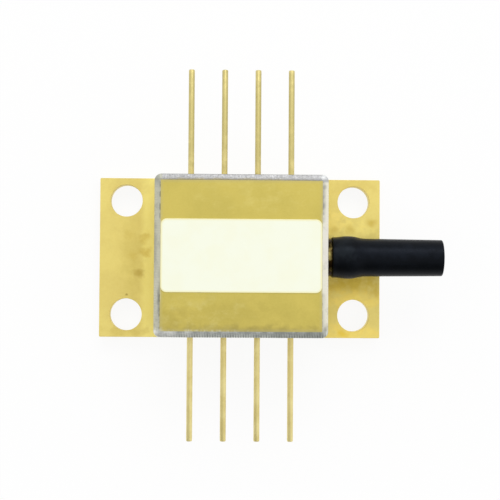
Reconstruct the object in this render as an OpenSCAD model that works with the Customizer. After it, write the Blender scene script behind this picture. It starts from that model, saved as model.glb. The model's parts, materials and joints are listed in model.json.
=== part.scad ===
// Superluminescent diode module in a small butterfly package.
// Millimetres. The origin is the middle of the flange hole pattern, on the underside of the base.
// +X runs along the fibre towards the boot, +Y across the leads, +Z up through the lid.

/* [Base] */
// Hole spacing along the fibre
hole_pitch_x = 17.78; // [17:0.01:20]
// Hole spacing across the fibre
hole_pitch_y = 8.89; // [7:0.01:9.2]
// Hole diameter
hole_d = 2.5; // [1.6:0.05:2.6]
// Metal from a hole's centre to the end of the flange
hole_margin = 2.06; // [1.9:0.01:3]
// Ledge of the base beyond the side walls
base_ledge = 0.25; // [0.25:0.01:0.8]
// Thickness of the base
base_t = 1.2; // [0.8:0.05:2]
// Corner radius of the base
base_corner_r = 0.1; // [0.1:0.05:1]

/* [Walls] */
// Length of the walls along the fibre
body_l = 12.7; // [12:0.05:14]
// Width of the walls across the fibre
body_w = 11.9; // [11:0.05:13]
// Height of the walls above the base
wall_h = 5.8; // [5.2:0.05:7]
// Thickness of the two end walls
end_wall_t = 1.0; // [0.7:0.05:1.4]
// Thickness of the two side walls that hold the leads
side_wall_t = 1.2; // [0.8:0.05:1.6]
// Corner radius inside the walls
inner_corner_r = 0.5; // [0.2:0.05:1]
// Radius of the braze fillet round the foot of the walls
foot_fillet_r = 0.2; // [0.05:0.01:0.25]

/* [Lid] */
// Thickness of the lid
lid_t = 0.25; // [0.15:0.01:0.5]
// Distance from the wall's outer face to the edge of the lid
lid_inset = 0.35; // [0.2:0.01:0.5]
// Corner radius of the lid
lid_corner_r = 0.05; // [0.05:0.01:0.4]
// Depth of the locating step under the lid
lid_step_h = 0.2; // [0.1:0.01:0.4]
// Clearance of the locating step inside the walls
lid_step_gap = 0.1; // [0.05:0.01:0.3]
// Overhang of the weld track past the wall's outer face
weld_overhang = 0.1; // [0.02:0.01:0.2]
// Height of the weld track at its outer edge
weld_edge_h = 0.12; // [0.05:0.01:0.15]

/* [Label] */
// Width of the label across the fibre
label_w = 5.45; // [3:0.05:8]
// Bare lid left at each end of the label
label_margin = 0.04; // [0.02:0.01:2]
// Thickness of the label
label_t = 0.08; // [0.05:0.01:0.2]
// Corner radius of the label
label_corner_r = 0.45; // [0.1:0.05:1.2]

/* [Leads] */
// Spacing of the leads
lead_pitch = 2.54; // [2:0.01:2.7]
// Diameter of a lead
lead_d = 0.45; // [0.35:0.01:0.6]
// Length of leads 1 to 4 outside the wall
lead_reach_low = 8.0; // [4:0.05:14]
// Length of leads 5 to 8 outside the wall
lead_reach_high = 8.3; // [4:0.05:14]
// Length of a lead inside the wall
lead_inside = 0.9; // [0.7:0.05:1.2]
// Height of the leads above the base
lead_rise = 3.2; // [2.4:0.05:4]
// Chamfer at a lead's outer tip
lead_tip_chamfer = 0.08; // [0.02:0.01:0.15]
// Length of the flat for the bond wire at a lead's inner end
lead_flat_l = 0.6; // [0.4:0.05:0.65]
// Depth of that flat
lead_flat_depth = 0.1; // [0.05:0.01:0.15]
// Diameter of a glass seal
seal_d = 1.5; // [1:0.05:1.8]
// Recess of a glass seal below both wall faces
seal_recess = 0.1; // [0.02:0.01:0.2]

/* [Snout and boot] */
// Outer diameter of the snout
snout_d = 2.2; // [1.8:0.05:2.4]
// Diameter of the snout's shoulder against the wall
shoulder_d = 2.9; // [2.5:0.05:3.4]
// Thickness of that shoulder, which keeps the boot off the wall
shoulder_t = 0.5; // [0.1:0.05:0.7]
// Length of the snout outside the wall
snout_reach = 2.15; // [1.9:0.05:3]
// Height of the retaining barb
barb_h = 0.15; // [0.05:0.01:0.25]
// Length of the retaining barb
barb_l = 0.8; // [0.6:0.05:1.1]
// Length of the boot
boot_l = 8.4; // [6:0.05:14]
// Rubber thickness over the snout
boot_wall = 0.43; // [0.3:0.01:0.6]
// Height of the boot's swell over the barb
boot_swell = 0.08; // [0.02:0.01:0.2]
// Diameter of the boot behind the snout
boot_neck_d = 2.87; // [2.5:0.01:3.2]
// Diameter of the boot at its end
boot_tip_d = 2.74; // [2:0.01:3.2]
// Diameter of the fibre bore through the boot
boot_bore_d = 1.0; // [0.6:0.05:1.4]
// Length over which the boot narrows behind the snout
boot_neck_run = 0.9; // [0.5:0.05:2]
// Edge radius at both ends of the boot
boot_edge_r = 0.12; // [0.05:0.01:0.2]

/* [Thermoelectric cooler] */
// Middle of the cooler along the fibre
cooler_x = -0.6; // [-0.8:0.05:0.2]
// Side of a square pellet
pellet_side = 0.6; // [0.4:0.05:0.8]
// Gap between neighbouring pellets
pellet_gap = 0.44; // [0.2:0.02:0.6]
// Height of a pellet
pellet_h = 0.95; // [0.5:0.05:1.4]
// Thickness of the copper tabs
tab_t = 0.08; // [0.04:0.01:0.15]
// Thickness of the ceramic plates
plate_t = 0.6; // [0.3:0.05:0.8]
// Rim of ceramic round the pellets
plate_rim = 0.32; // [0.1:0.02:0.5]
// Ledge of the hot plate that carries the posts
post_ledge = 1.2; // [0.9:0.05:1.4]
// Diameter of a terminal post
post_d = 0.5; // [0.3:0.05:0.7]

/* [Optics] */
// Length of the bench
bench_l = 6.0; // [5.6:0.05:7]
// Width of the bench
bench_w = 3.8; // [3.4:0.05:4.6]
// Thickness of the bench
bench_t = 0.75; // [0.4:0.05:1.2]
// Middle of the bench, from the middle of the cooler
bench_shift = 0.4; // [0:0.05:0.8]
// Height of the optical axis above the bench
axis_rise = 0.6; // [0.5:0.01:0.9]
// Front facet of the chip, from the middle of the bench
facet_shift = 0.6; // [0.4:0.05:0.8]
// Length of the chip
chip_l = 1.2; // [0.6:0.05:1.6]
// Width of the chip
chip_w = 0.35; // [0.25:0.01:0.5]
// Thickness of the chip
chip_t = 0.12; // [0.08:0.01:0.2]
// Length of the ceramic submount
submount_l = 1.8; // [1.6:0.05:2.2]
// Width of the ceramic submount
submount_w = 1.3; // [1:0.05:1.5]
// Distance from the facet to the fibre tip
lens_gap = 0.05; // [0.02:0.01:0.1]
// Length of fibre in front of the ferrule
fibre_out = 0.45; // [0.3:0.05:0.7]
// Diameter of the fibre
fibre_d = 0.125; // [0.08:0.005:0.2]
// Length of the tapered lens on the fibre tip
lens_l = 0.1; // [0.05:0.01:0.2]
// Diameter of the lens at its tip
lens_tip_d = 0.03; // [0.01:0.005:0.06]
// Diameter of the ferrule
ferrule_d = 0.8; // [0.6:0.05:0.95]
// Solder gap between ferrule and snout
solder_gap = 0.1; // [0.05:0.01:0.15]
// Length of the solder seal
solder_l = 1.0; // [0.4:0.05:2]
// Metal thickness of the ferrule clip
clip_t = 0.2; // [0.1:0.01:0.25]
// Length of the ferrule clip along the fibre
clip_l = 0.8; // [0.4:0.05:1]
// Width of each foot of the clip
clip_foot_w = 0.4; // [0.2:0.05:0.45]
// Distance from the ferrule's tip to the clip
clip_setback = 0.5; // [0.2:0.05:0.6]
// Edge of the square photodiode
photodiode_side = 0.6; // [0.4:0.05:0.7]
// Thickness of the photodiode
photodiode_t = 0.15; // [0.1:0.01:0.2]
// Thickness of the photodiode's block
pd_block_t = 0.5; // [0.3:0.05:0.6]
// Width of the photodiode's block
pd_block_w = 1.3; // [1:0.05:1.6]
// Gap between the submount and the photodiode
pd_gap = 0.3; // [0.1:0.05:0.4]
// Side of the square thermistor
thermistor_side = 0.5; // [0.3:0.05:0.6]
// Height of the thermistor
thermistor_h = 0.35; // [0.2:0.05:0.6]

/* [Bond wires] */
// Diameter of a bond wire
wire_d = 0.05; // [0.03:0.005:0.08]
// Rise of a wire's loop over its ends
wire_loop = 0.45; // [0.35:0.05:0.6]

/* [Hidden] */
$fn = 64;

LEADS_PER_SIDE = 4;
LEADS = 2 * LEADS_PER_SIDE;
PELLET_COLS = 5;
PELLET_ROWS = 4;
PELLETS = PELLET_COLS * PELLET_ROWS;
WIRE_SIDES = 6;
WIRE_RINGS = 12;
BULGE_POINTS = 8;

// Base and walls
base_l = hole_pitch_x + 2 * hole_margin;
base_w = body_w + 2 * base_ledge;
base_top = base_t;
body_corner_r = lid_corner_r + lid_inset;
cavity_l = body_l - 2 * end_wall_t;
cavity_w = body_w - 2 * side_wall_t;
wall_top = base_top + wall_h;
end_face = body_l / 2;

// Lid, weld track and label
lid_l = body_l - 2 * lid_inset;
lid_w = body_w - 2 * lid_inset;
lid_top = wall_top + lid_t;
lid_step_l = cavity_l - 2 * lid_step_gap;
lid_step_w = cavity_w - 2 * lid_step_gap;
lid_step_r = max(inner_corner_r - lid_step_gap, lid_corner_r);
weld_w = lid_inset + weld_overhang;
label_l = lid_l - 2 * label_margin;

// Leads
lead_z = base_top + lead_rise;
lead_root = body_w / 2;
lead_end = cavity_w / 2 - lead_inside;
lead_flat_z = lead_z + lead_d / 2 - lead_flat_depth;
bond_y = lead_end + lead_flat_l / 2;

// Cooler, from the base upwards
pellet_pitch = pellet_side + pellet_gap;
cold_l = (PELLET_COLS - 1) * pellet_pitch + pellet_side + 2 * plate_rim;
cold_w = (PELLET_ROWS - 1) * pellet_pitch + pellet_side + 2 * plate_rim;
hot_l = cold_l + post_ledge;
hot_x = cooler_x - cold_l / 2 - post_ledge;
hot_tab_z = base_top + plate_t;
pellet_z = hot_tab_z + tab_t;
cold_tab_z = pellet_z + pellet_h;
cold_z = cold_tab_z + tab_t;
post_x = hot_x + post_ledge / 2;
post_y = (PELLET_ROWS - 1) / 2 * pellet_pitch;
post_top = lead_z;

// Optics on the bench
bench_z = cold_z + plate_t;
bench_top = bench_z + bench_t;
bench_x = cooler_x + bench_shift;
axis_z = bench_top + axis_rise;
facet_x = bench_x + facet_shift;
submount_t = axis_rise - chip_t;
submount_top = bench_top + submount_t;
submount_back = facet_x - submount_l;
photodiode_x = submount_back - pd_gap - photodiode_t;
pd_block_x = photodiode_x - pd_block_t;
pd_block_top = axis_z + photodiode_side;
fibre_tip = facet_x + lens_gap;
ferrule_tip = fibre_tip + fibre_out;
clip_x = ferrule_tip + clip_setback;
clip_r = ferrule_d / 2 + clip_t;
thermistor_x = ferrule_tip + thermistor_side / 2;
thermistor_y = (clip_r + clip_foot_w + bench_w / 2) / 2;
thermistor_top = bench_top + thermistor_h;
submount_pad_y = (chip_w + submount_w) / 4;
pad_x = facet_x - chip_l / 2;

// Snout and boot, along X from the middle of the body
snout_bore_d = ferrule_d + 2 * solder_gap;
snout_start = cavity_l / 2;
snout_end = end_face + snout_reach;
barb_start = snout_end - barb_l;
barb_crest = barb_start + barb_l / 4;
barb_fall = snout_end - barb_l / 3;
boot_root = end_face + shoulder_t;
boot_tip = boot_root + boot_l;
boot_neck = snout_end + boot_neck_run;
boot_root_r = snout_d / 2 + boot_wall;
boot_bulge_r = boot_root_r + boot_swell;

// Smooth step from 0 to 1
function ease(t) = t * t * (3 - 2 * t);

// Leads count along the -Y side from the far end to the boot, then back along the +Y side
function lead_side(i) = i <= LEADS_PER_SIDE ? -1 : 1;
function lead_tip(i) = lead_root + (lead_side(i) < 0 ? lead_reach_low : lead_reach_high);
function lead_column(i) = i <= LEADS_PER_SIDE ? i - 1 : LEADS - i;
function lead_x(i) = (lead_column(i) - (LEADS_PER_SIDE - 1) / 2) * lead_pitch;
function lead_bond(i) = [lead_x(i), lead_side(i) * bond_y, lead_flat_z];

// Pellets are wired in one line that runs up one row and down the next
function pellet_row(i) = floor(i / PELLET_COLS);
function pellet_step(i) = i % PELLET_COLS;
function pellet_col(i) = pellet_row(i) % 2 == 0 ? pellet_step(i) : PELLET_COLS - 1 - pellet_step(i);
function pellet_at(i) = [
    cooler_x + (pellet_col(i) - (PELLET_COLS - 1) / 2) * pellet_pitch,
    (pellet_row(i) - (PELLET_ROWS - 1) / 2) * pellet_pitch
];

// Plate with rounded corners, centred on the Z axis
module rounded_rect(l, w, r) {
    square([l - 2 * r, w], center = true);
    square([l, w - 2 * r], center = true);
    for (sx = [-1, 1], sy = [-1, 1])
        translate([sx * (l / 2 - r), sy * (w / 2 - r)])
            circle(r);
}

// Sweeps a section drawn in (outwards, up) round the outside of a rounded rectangle
module rim_sweep(l, w, r) {
    for (turn = [0, 180])
        rotate([0, 0, turn]) {
            translate([l / 2, w / 2 - r, 0])
                rotate([90, 0, 0])
                    linear_extrude(w - 2 * r)
                        children();
            translate([-l / 2 + r, w / 2, 0])
                rotate([90, 0, 90])
                    linear_extrude(l - 2 * r)
                        children();
        }
    for (quarter = [0 : 3])
        translate([
            (quarter == 0 || quarter == 3 ? 1 : -1) * (l / 2 - r),
            (quarter < 2 ? 1 : -1) * (w / 2 - r),
            0
        ])
            rotate([0, 0, 90 * quarter])
                rotate_extrude(angle = 90)
                    translate([r, 0])
                        children();
}

// Turns a shape made along Z to lie along X on the optical axis
module on_axis() {
    translate([0, 0, axis_z])
        rotate([0, 90, 0])
            children();
}

// Cylinder along Y at the height of the leads, between two distances from the middle
module lead_cylinder(i, d, from, to) {
    translate([lead_x(i), lead_side(i) * from, lead_z])
        rotate([-90 * lead_side(i), 0, 0])
            cylinder(d = d, h = to - from);
}

module base_plate() {
    color("gold")
        linear_extrude(base_t)
            difference() {
                rounded_rect(base_l, base_w, base_corner_r);
                for (sx = [-1, 1], sy = [-1, 1])
                    translate([sx * hole_pitch_x / 2, sy * hole_pitch_y / 2])
                        circle(d = hole_d);
            }
}

module foot_fillet_section() {
    difference() {
        square(foot_fillet_r);
        translate([foot_fillet_r, foot_fillet_r])
            circle(foot_fillet_r);
    }
}

module wall_frame() {
    color("goldenrod")
        difference() {
            translate([0, 0, base_top])
                union() {
                    linear_extrude(wall_h)
                        difference() {
                            rounded_rect(body_l, body_w, body_corner_r);
                            rounded_rect(cavity_l, cavity_w, inner_corner_r);
                        }
                    rim_sweep(body_l, body_w, body_corner_r)
                        foot_fillet_section();
                }
            for (i = [1 : LEADS])
                lead_cylinder(i, seal_d, cavity_w / 2 - seal_recess, body_w / 2 + seal_recess);
            on_axis()
                translate([0, 0, snout_start - end_wall_t / 2])
                    cylinder(d = snout_d, h = 2 * end_wall_t);
        }
}

module lid() {
    color("gold") {
        translate([0, 0, wall_top])
            linear_extrude(lid_t)
                rounded_rect(lid_l, lid_w, lid_corner_r);
        translate([0, 0, wall_top - lid_step_h])
            linear_extrude(lid_step_h)
                rounded_rect(lid_step_l, lid_step_w, lid_step_r);
    }
}

// The track slopes from the lid's top down to its outer edge
module seam_weld() {
    color("lightgray")
        translate([0, 0, wall_top])
            rim_sweep(lid_l, lid_w, lid_corner_r)
                polygon([[0, 0], [weld_w, 0], [weld_w, weld_edge_h], [0, lid_t]]);
}

module label() {
    color("ivory")
        translate([0, 0, lid_top])
            linear_extrude(label_t)
                rounded_rect(label_l, label_w, label_corner_r);
}

module lead(i) {
    side = lead_side(i);
    color("gold")
        difference() {
            union() {
                lead_cylinder(i, lead_d, lead_end, lead_tip(i) - lead_tip_chamfer);
                translate([lead_x(i), side * (lead_tip(i) - lead_tip_chamfer), lead_z])
                    rotate([-90 * side, 0, 0])
                        cylinder(d1 = lead_d, d2 = lead_d - 2 * lead_tip_chamfer, h = lead_tip_chamfer);
            }
            translate([
                lead_x(i) - lead_d,
                side > 0 ? lead_end - lead_flat_l : -lead_end - lead_flat_l,
                lead_flat_z
            ])
                cube([2 * lead_d, 2 * lead_flat_l, lead_d]);
        }
}

module glass_seal(i) {
    color("darkslategray")
        difference() {
            lead_cylinder(i, seal_d, cavity_w / 2 + seal_recess, body_w / 2 - seal_recess);
            lead_cylinder(i, lead_d, lead_end, lead_tip(i));
        }
}

// Half section of the snout's shank and barb, drawn in (radius, distance along X)
module snout_outline() {
    r = snout_d / 2;
    polygon([
        [0, snout_start],
        [r, snout_start],
        [r, barb_start],
        [r + barb_h, barb_crest],
        [r + barb_h, barb_fall],
        [r - barb_h / 2, snout_end],
        [0, snout_end]
    ]);
}

module snout_tube() {
    color("gold")
        on_axis()
            difference() {
                union() {
                    rotate_extrude()
                        snout_outline();
                    translate([0, 0, end_face])
                        cylinder(d = shoulder_d, h = shoulder_t);
                }
                translate([0, 0, snout_start - end_wall_t])
                    cylinder(d = snout_bore_d, h = snout_end - snout_start + 2 * end_wall_t);
            }
}

// Outer radius and place of the boot: a rounded root, a swell over the barb, a neck and a taper
module boot_outline() {
    tip_r = boot_tip_d / 2;
    neck_r = boot_neck_d / 2;
    polygon(concat(
        [[0, boot_root], [boot_root_r - boot_edge_r, boot_root], [boot_root_r, boot_root + boot_edge_r]],
        [for (k = [0 : BULGE_POINTS])
            let (t = k / BULGE_POINTS, from = boot_root + boot_edge_r + barb_h)
            [boot_root_r + boot_swell * ease(t), from + (barb_crest - from) * t]],
        [for (k = [0 : BULGE_POINTS])
            let (t = k / BULGE_POINTS)
            [boot_bulge_r + (neck_r - boot_bulge_r) * ease(t), barb_fall + (boot_neck - barb_fall) * t]],
        [[tip_r, boot_tip - boot_edge_r], [tip_r - boot_edge_r, boot_tip], [0, boot_tip]]
    ));
}

module boot() {
    funnel_l = boot_neck - snout_end;
    color("black")
        on_axis()
            difference() {
                rotate_extrude()
                    boot_outline();
                rotate_extrude()
                    snout_outline();
                translate([0, 0, snout_end])
                    cylinder(d1 = snout_d - barb_h, d2 = boot_bore_d, h = funnel_l);
                translate([0, 0, snout_end])
                    cylinder(d = boot_bore_d, h = boot_l);
            }
}

module fibre_ferrule() {
    color("silver")
        on_axis()
            difference() {
                translate([0, 0, ferrule_tip])
                    cylinder(d = ferrule_d, h = snout_end - ferrule_tip);
                translate([0, 0, ferrule_tip - fibre_out])
                    cylinder(d = fibre_d, h = snout_end - ferrule_tip + 2 * fibre_out);
            }
}

module lensed_fibre() {
    color("lightcyan")
        on_axis() {
            translate([0, 0, fibre_tip])
                cylinder(d1 = lens_tip_d, d2 = fibre_d, h = lens_l);
            translate([0, 0, fibre_tip + lens_l])
                cylinder(d = fibre_d, h = snout_end - fibre_tip - lens_l);
        }
}

module solder_seal() {
    color("gray")
        on_axis()
            translate([0, 0, snout_end - solder_l])
                linear_extrude(solder_l)
                    difference() {
                        circle(d = snout_bore_d);
                        circle(d = ferrule_d);
                    }
}

// Bent strip over the ferrule, standing on two feet on the bench
module ferrule_clip() {
    color("silver")
        translate([clip_x, 0, bench_top])
            rotate([90, 0, 90])
                linear_extrude(clip_l)
                    difference() {
                        union() {
                            translate([0, axis_rise])
                                circle(clip_r);
                            translate([-clip_r, 0])
                                square([2 * clip_r, axis_rise]);
                            translate([-clip_r - clip_foot_w, 0])
                                square([2 * (clip_r + clip_foot_w), clip_t]);
                        }
                        translate([0, axis_rise])
                            circle(d = ferrule_d);
                        translate([-ferrule_d / 2, -clip_t])
                            square([ferrule_d, axis_rise + clip_t]);
                    }
}

module tec_hot_plate() {
    color("white")
        translate([hot_x, -cold_w / 2, base_top])
            cube([hot_l, cold_w, plate_t]);
}

module tec_cold_plate() {
    color("white")
        translate([cooler_x - cold_l / 2, -cold_w / 2, cold_z])
            cube([cold_l, cold_w, plate_t]);
}

module tec_pellets() {
    color("dimgray")
        for (i = [0 : PELLETS - 1])
            translate(concat(pellet_at(i) - [1, 1] * pellet_side / 2, pellet_z))
                cube([pellet_side, pellet_side, pellet_h]);
}

// Copper tab that covers two places on a cooler plate
module tab(a, b, z) {
    low = [min(a.x, b.x), min(a.y, b.y)] - [1, 1] * pellet_side / 2;
    high = [max(a.x, b.x), max(a.y, b.y)] + [1, 1] * pellet_side / 2;
    translate(concat(low, z))
        cube(concat(high - low, tab_t));
}

// On the hot side each end of the line runs out under a post
module tec_hot_tabs() {
    color("peru") {
        for (i = [1 : 2 : PELLETS - 3])
            tab(pellet_at(i), pellet_at(i + 1), hot_tab_z);
        tab([post_x, -post_y], pellet_at(0), hot_tab_z);
        tab([post_x, post_y], pellet_at(PELLETS - 1), hot_tab_z);
    }
}

module tec_cold_tabs() {
    color("peru")
        for (i = [0 : 2 : PELLETS - 2])
            tab(pellet_at(i), pellet_at(i + 1), cold_tab_z);
}

module tec_post(side) {
    color("peru")
        translate([post_x, side * post_y, pellet_z])
            cylinder(d = post_d, h = post_top - pellet_z);
}

module optical_bench() {
    color("gold")
        translate([bench_x - bench_l / 2, -bench_w / 2, bench_z])
            cube([bench_l, bench_w, bench_t]);
}

module chip_submount() {
    color("whitesmoke")
        translate([submount_back, -submount_w / 2, bench_top])
            cube([submount_l, submount_w, submount_t]);
}

module diode_chip() {
    color("darkslateblue")
        translate([facet_x - chip_l, -chip_w / 2, submount_top])
            cube([chip_l, chip_w, chip_t]);
}

module thermistor() {
    color("black")
        translate([thermistor_x, thermistor_y, bench_top] - [1, 1, 0] * thermistor_side / 2)
            cube([thermistor_side, thermistor_side, thermistor_h]);
}

module pd_block() {
    color("whitesmoke")
        translate([pd_block_x, -pd_block_w / 2, bench_top])
            cube([pd_block_t, pd_block_w, pd_block_top - bench_top]);
}

module monitor_photodiode() {
    color("darkslateblue")
        translate([photodiode_x, -photodiode_side / 2, axis_z - photodiode_side / 2])
            cube([photodiode_t, photodiode_side, photodiode_side]);
}

// One bond wire: a loop in the upright plane through its ends, with both ends flat on their pads
module wire(a, b) {
    run = [b.x - a.x, b.y - a.y, 0] / norm([b.x - a.x, b.y - a.y]);
    across = [-run.y, run.x, 0];
    up = [0, 0, 1];
    span = norm([b.x - a.x, b.y - a.y]);
    rings = [for (k = [0 : WIRE_RINGS])
        let (
            turn = 180 * k / WIRE_RINGS,
            share = (1 - cos(turn)) / 2,
            middle = a + (b - a) * share + up * wire_loop * sin(turn),
            slope = [span * sin(turn) / 2, (b.z - a.z) * sin(turn) / 2 + wire_loop * cos(turn)],
            along = slope / norm(slope),
            outwards = up * along[0] - run * along[1]
        )
        [for (s = [0 : WIRE_SIDES - 1])
            let (spoke = 360 * s / WIRE_SIDES)
            middle + (across * cos(spoke) + outwards * sin(spoke)) * wire_d / 2]];
    points = [for (ring = rings) each ring];
    last = WIRE_RINGS * WIRE_SIDES;
    faces = concat(
        [[for (s = [0 : WIRE_SIDES - 1]) s]],
        [for (k = [0 : WIRE_RINGS - 1], s = [0 : WIRE_SIDES - 1])
            let (next = (s + 1) % WIRE_SIDES, row = k * WIRE_SIDES)
            [row + s, row + WIRE_SIDES + s, row + WIRE_SIDES + next, row + next]],
        [[for (s = [0 : WIRE_SIDES - 1]) last + WIRE_SIDES - 1 - s]]
    );
    polyhedron(points, faces);
}

module bond_wires() {
    block_pad_x = pd_block_x + pd_block_t / 2;
    block_pad_y = pd_block_w / 4;
    color("gold") {
        wire(lead_bond(1), [post_x, -post_y, post_top]);
        wire(lead_bond(8), [post_x, post_y, post_top]);
        wire(lead_bond(2), [block_pad_x, -block_pad_y, pd_block_top]);
        wire(lead_bond(7), [block_pad_x, block_pad_y, pd_block_top]);
        wire(lead_bond(3), [pad_x, -submount_pad_y, submount_top]);
        wire(lead_bond(6), [pad_x, submount_pad_y, submount_top]);
        wire(lead_bond(4), [thermistor_x, -thermistor_y, bench_top]);
        wire(lead_bond(5), [thermistor_x, thermistor_y, thermistor_top]);
        wire([pad_x - chip_l / 4, 0, axis_z], [pad_x - chip_l / 4, -submount_pad_y, submount_top]);
    }
}

base_plate();
wall_frame();
lid();
seam_weld();
label();
snout_tube();
boot();
fibre_ferrule();
lensed_fibre();
solder_seal();
ferrule_clip();
tec_hot_plate();
tec_hot_tabs();
tec_pellets();
tec_cold_tabs();
tec_cold_plate();
tec_post(-1);  // tec_post_1
tec_post(1);  // tec_post_2
optical_bench();
chip_submount();
diode_chip();
thermistor();
pd_block();
monitor_photodiode();
bond_wires();
for (i = [1 : LEADS]) {
    lead(i);
    glass_seal(i);
}
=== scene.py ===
"""Looks of a superluminescent diode module in a small butterfly package.

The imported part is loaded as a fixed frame. Its visible pieces are modelled again with finer edges and
true curves, and every piece, seen or sealed inside, gets a finish of its own. Pieces are shaped in
millimetres and brought to metres when they are finished. +X runs along the fibre towards the boot,
+Y across the leads and +Z up through the lid.
"""

import json
import logging
import math
from collections.abc import Callable, Iterator, Sequence
from contextlib import contextmanager
from dataclasses import dataclass, field
from enum import Enum
from functools import cached_property
from itertools import product

import bmesh
import bpy
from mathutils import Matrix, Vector


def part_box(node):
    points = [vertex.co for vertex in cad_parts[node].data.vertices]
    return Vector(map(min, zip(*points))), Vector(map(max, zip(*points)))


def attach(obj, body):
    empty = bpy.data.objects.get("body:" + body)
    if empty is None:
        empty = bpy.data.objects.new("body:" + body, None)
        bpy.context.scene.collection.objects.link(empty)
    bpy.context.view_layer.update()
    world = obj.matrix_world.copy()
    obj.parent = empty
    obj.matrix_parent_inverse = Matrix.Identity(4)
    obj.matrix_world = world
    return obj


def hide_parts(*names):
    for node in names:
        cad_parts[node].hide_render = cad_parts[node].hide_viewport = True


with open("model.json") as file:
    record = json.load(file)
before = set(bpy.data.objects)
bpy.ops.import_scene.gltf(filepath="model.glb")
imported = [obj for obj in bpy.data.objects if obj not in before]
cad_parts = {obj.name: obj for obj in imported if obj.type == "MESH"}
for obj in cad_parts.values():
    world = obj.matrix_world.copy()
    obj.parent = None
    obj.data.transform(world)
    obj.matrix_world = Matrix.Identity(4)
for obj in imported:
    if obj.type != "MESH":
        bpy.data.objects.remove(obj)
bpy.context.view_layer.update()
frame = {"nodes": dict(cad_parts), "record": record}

log = logging.getLogger("diode_module")

BODY = "root"
MM = 0.001  # metres in a millimetre
TOUCH = 1e-4  # points closer than this, in millimetres, are one
EVERYWHERE = 1e3  # a reach, in millimetres, that goes past the whole module
UPRIGHT = 0.9  # height of a direction that counts as upright
OVERRUN = 1.5  # half a drill's path, in thicknesses of what it drills
STRAIGHT = 0.999  # share of a direction along the axis that it follows
SMOOTH_ANGLE = math.radians(32.0)
FULL_TURN = 2.0 * math.pi
QUARTER_TURN = math.pi / 2.0

X_AXIS = Vector((1.0, 0.0, 0.0))
Y_AXIS = Vector((0.0, 1.0, 0.0))
Z_AXIS = Vector((0.0, 0.0, 1.0))

Colour = tuple[int, int, int]  # red, green and blue from 0 to 255, as a screen shows them
Triple = tuple[float, float, float]
Points = Sequence[tuple[float, float]]
Test = Callable[[Vector, Vector], bool]
Wire = bpy.types.NodeSocket
Inlets = bpy.types.NodeInputs
Outlets = bpy.types.NodeOutputs
Value = float | Sequence[float] | Wire
Sockets = dict[str | int, Value]


class Part(Enum):
    """What an edit-mode selection holds."""

    VERT = "VERT"
    EDGE = "EDGE"
    FACE = "FACE"


class Side(Enum):
    """The four sides of the lid, each with the axis that it runs along and its place on the other."""

    LEFT = (1, -1)
    RIGHT = (1, 1)
    FRONT = (0, -1)
    BACK = (0, 1)

    @property
    def axis(self) -> int:
        """Gives the axis that the side runs along."""
        return self.value[0]

    def holds(self, place: Vector) -> bool:
        """Says whether a point lies on this side rather than on the opposite one."""
        return place[1 - self.axis] * self.value[1] > 0.0


class Slot(Enum):
    """The record's material slots of the pieces that are modelled again."""

    BASE = "gold_base"
    WALLS = "gold_walls"
    LID = "gold_lid"
    WELD = "weld_metal"
    LABEL = "label_film"
    LEADS = "gold_leads"
    GLASS = "seal_glass"
    BOOT = "boot_rubber"


@dataclass(frozen=True)
class Box:
    """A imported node's box in millimetres.

    Attributes:
        low: Its lowest corner.
        high: Its highest corner.
    """

    low: Vector
    high: Vector

    @classmethod
    def of(cls, node: str) -> "Box":
        """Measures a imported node."""
        return cls(*(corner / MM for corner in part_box(node)))

    @property
    def half(self) -> Vector:
        """Gives half its size along each axis."""
        return (self.high - self.low) / 2.0

    @property
    def middle(self) -> Vector:
        """Gives its middle."""
        return (self.low + self.high) / 2.0


def linear(colour: Colour) -> tuple[float, float, float, float]:
    """Turns a colour as a screen shows it into the linear colour that shaders take."""
    shares = (level / 255.0 for level in colour)
    return (*(s / 12.92 if s <= 0.04045 else ((s + 0.055) / 1.055) ** 2.4 for s in shares), 1.0)


def mount_sizes(name: str) -> dict[str, float]:
    """Gives the sizes that the record states for a mount."""
    return next(m["dims"] for m in frame["record"]["mounts"] if m["name"] == name)


def even_shares(count: int) -> list[float]:
    """Divides the way from 0 to 1 evenly, with both ends."""
    return [k / count for k in range(count + 1)]


def quarter_arc(radius: float, sides: int) -> Points:
    """Gives a quarter circle about (radius, radius), from (radius, 0) to (0, radius)."""
    turns = [share * QUARTER_TURN for share in even_shares(sides)]
    return [(radius * (1.0 - math.sin(t)), radius * (1.0 - math.cos(t))) for t in turns]


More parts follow.
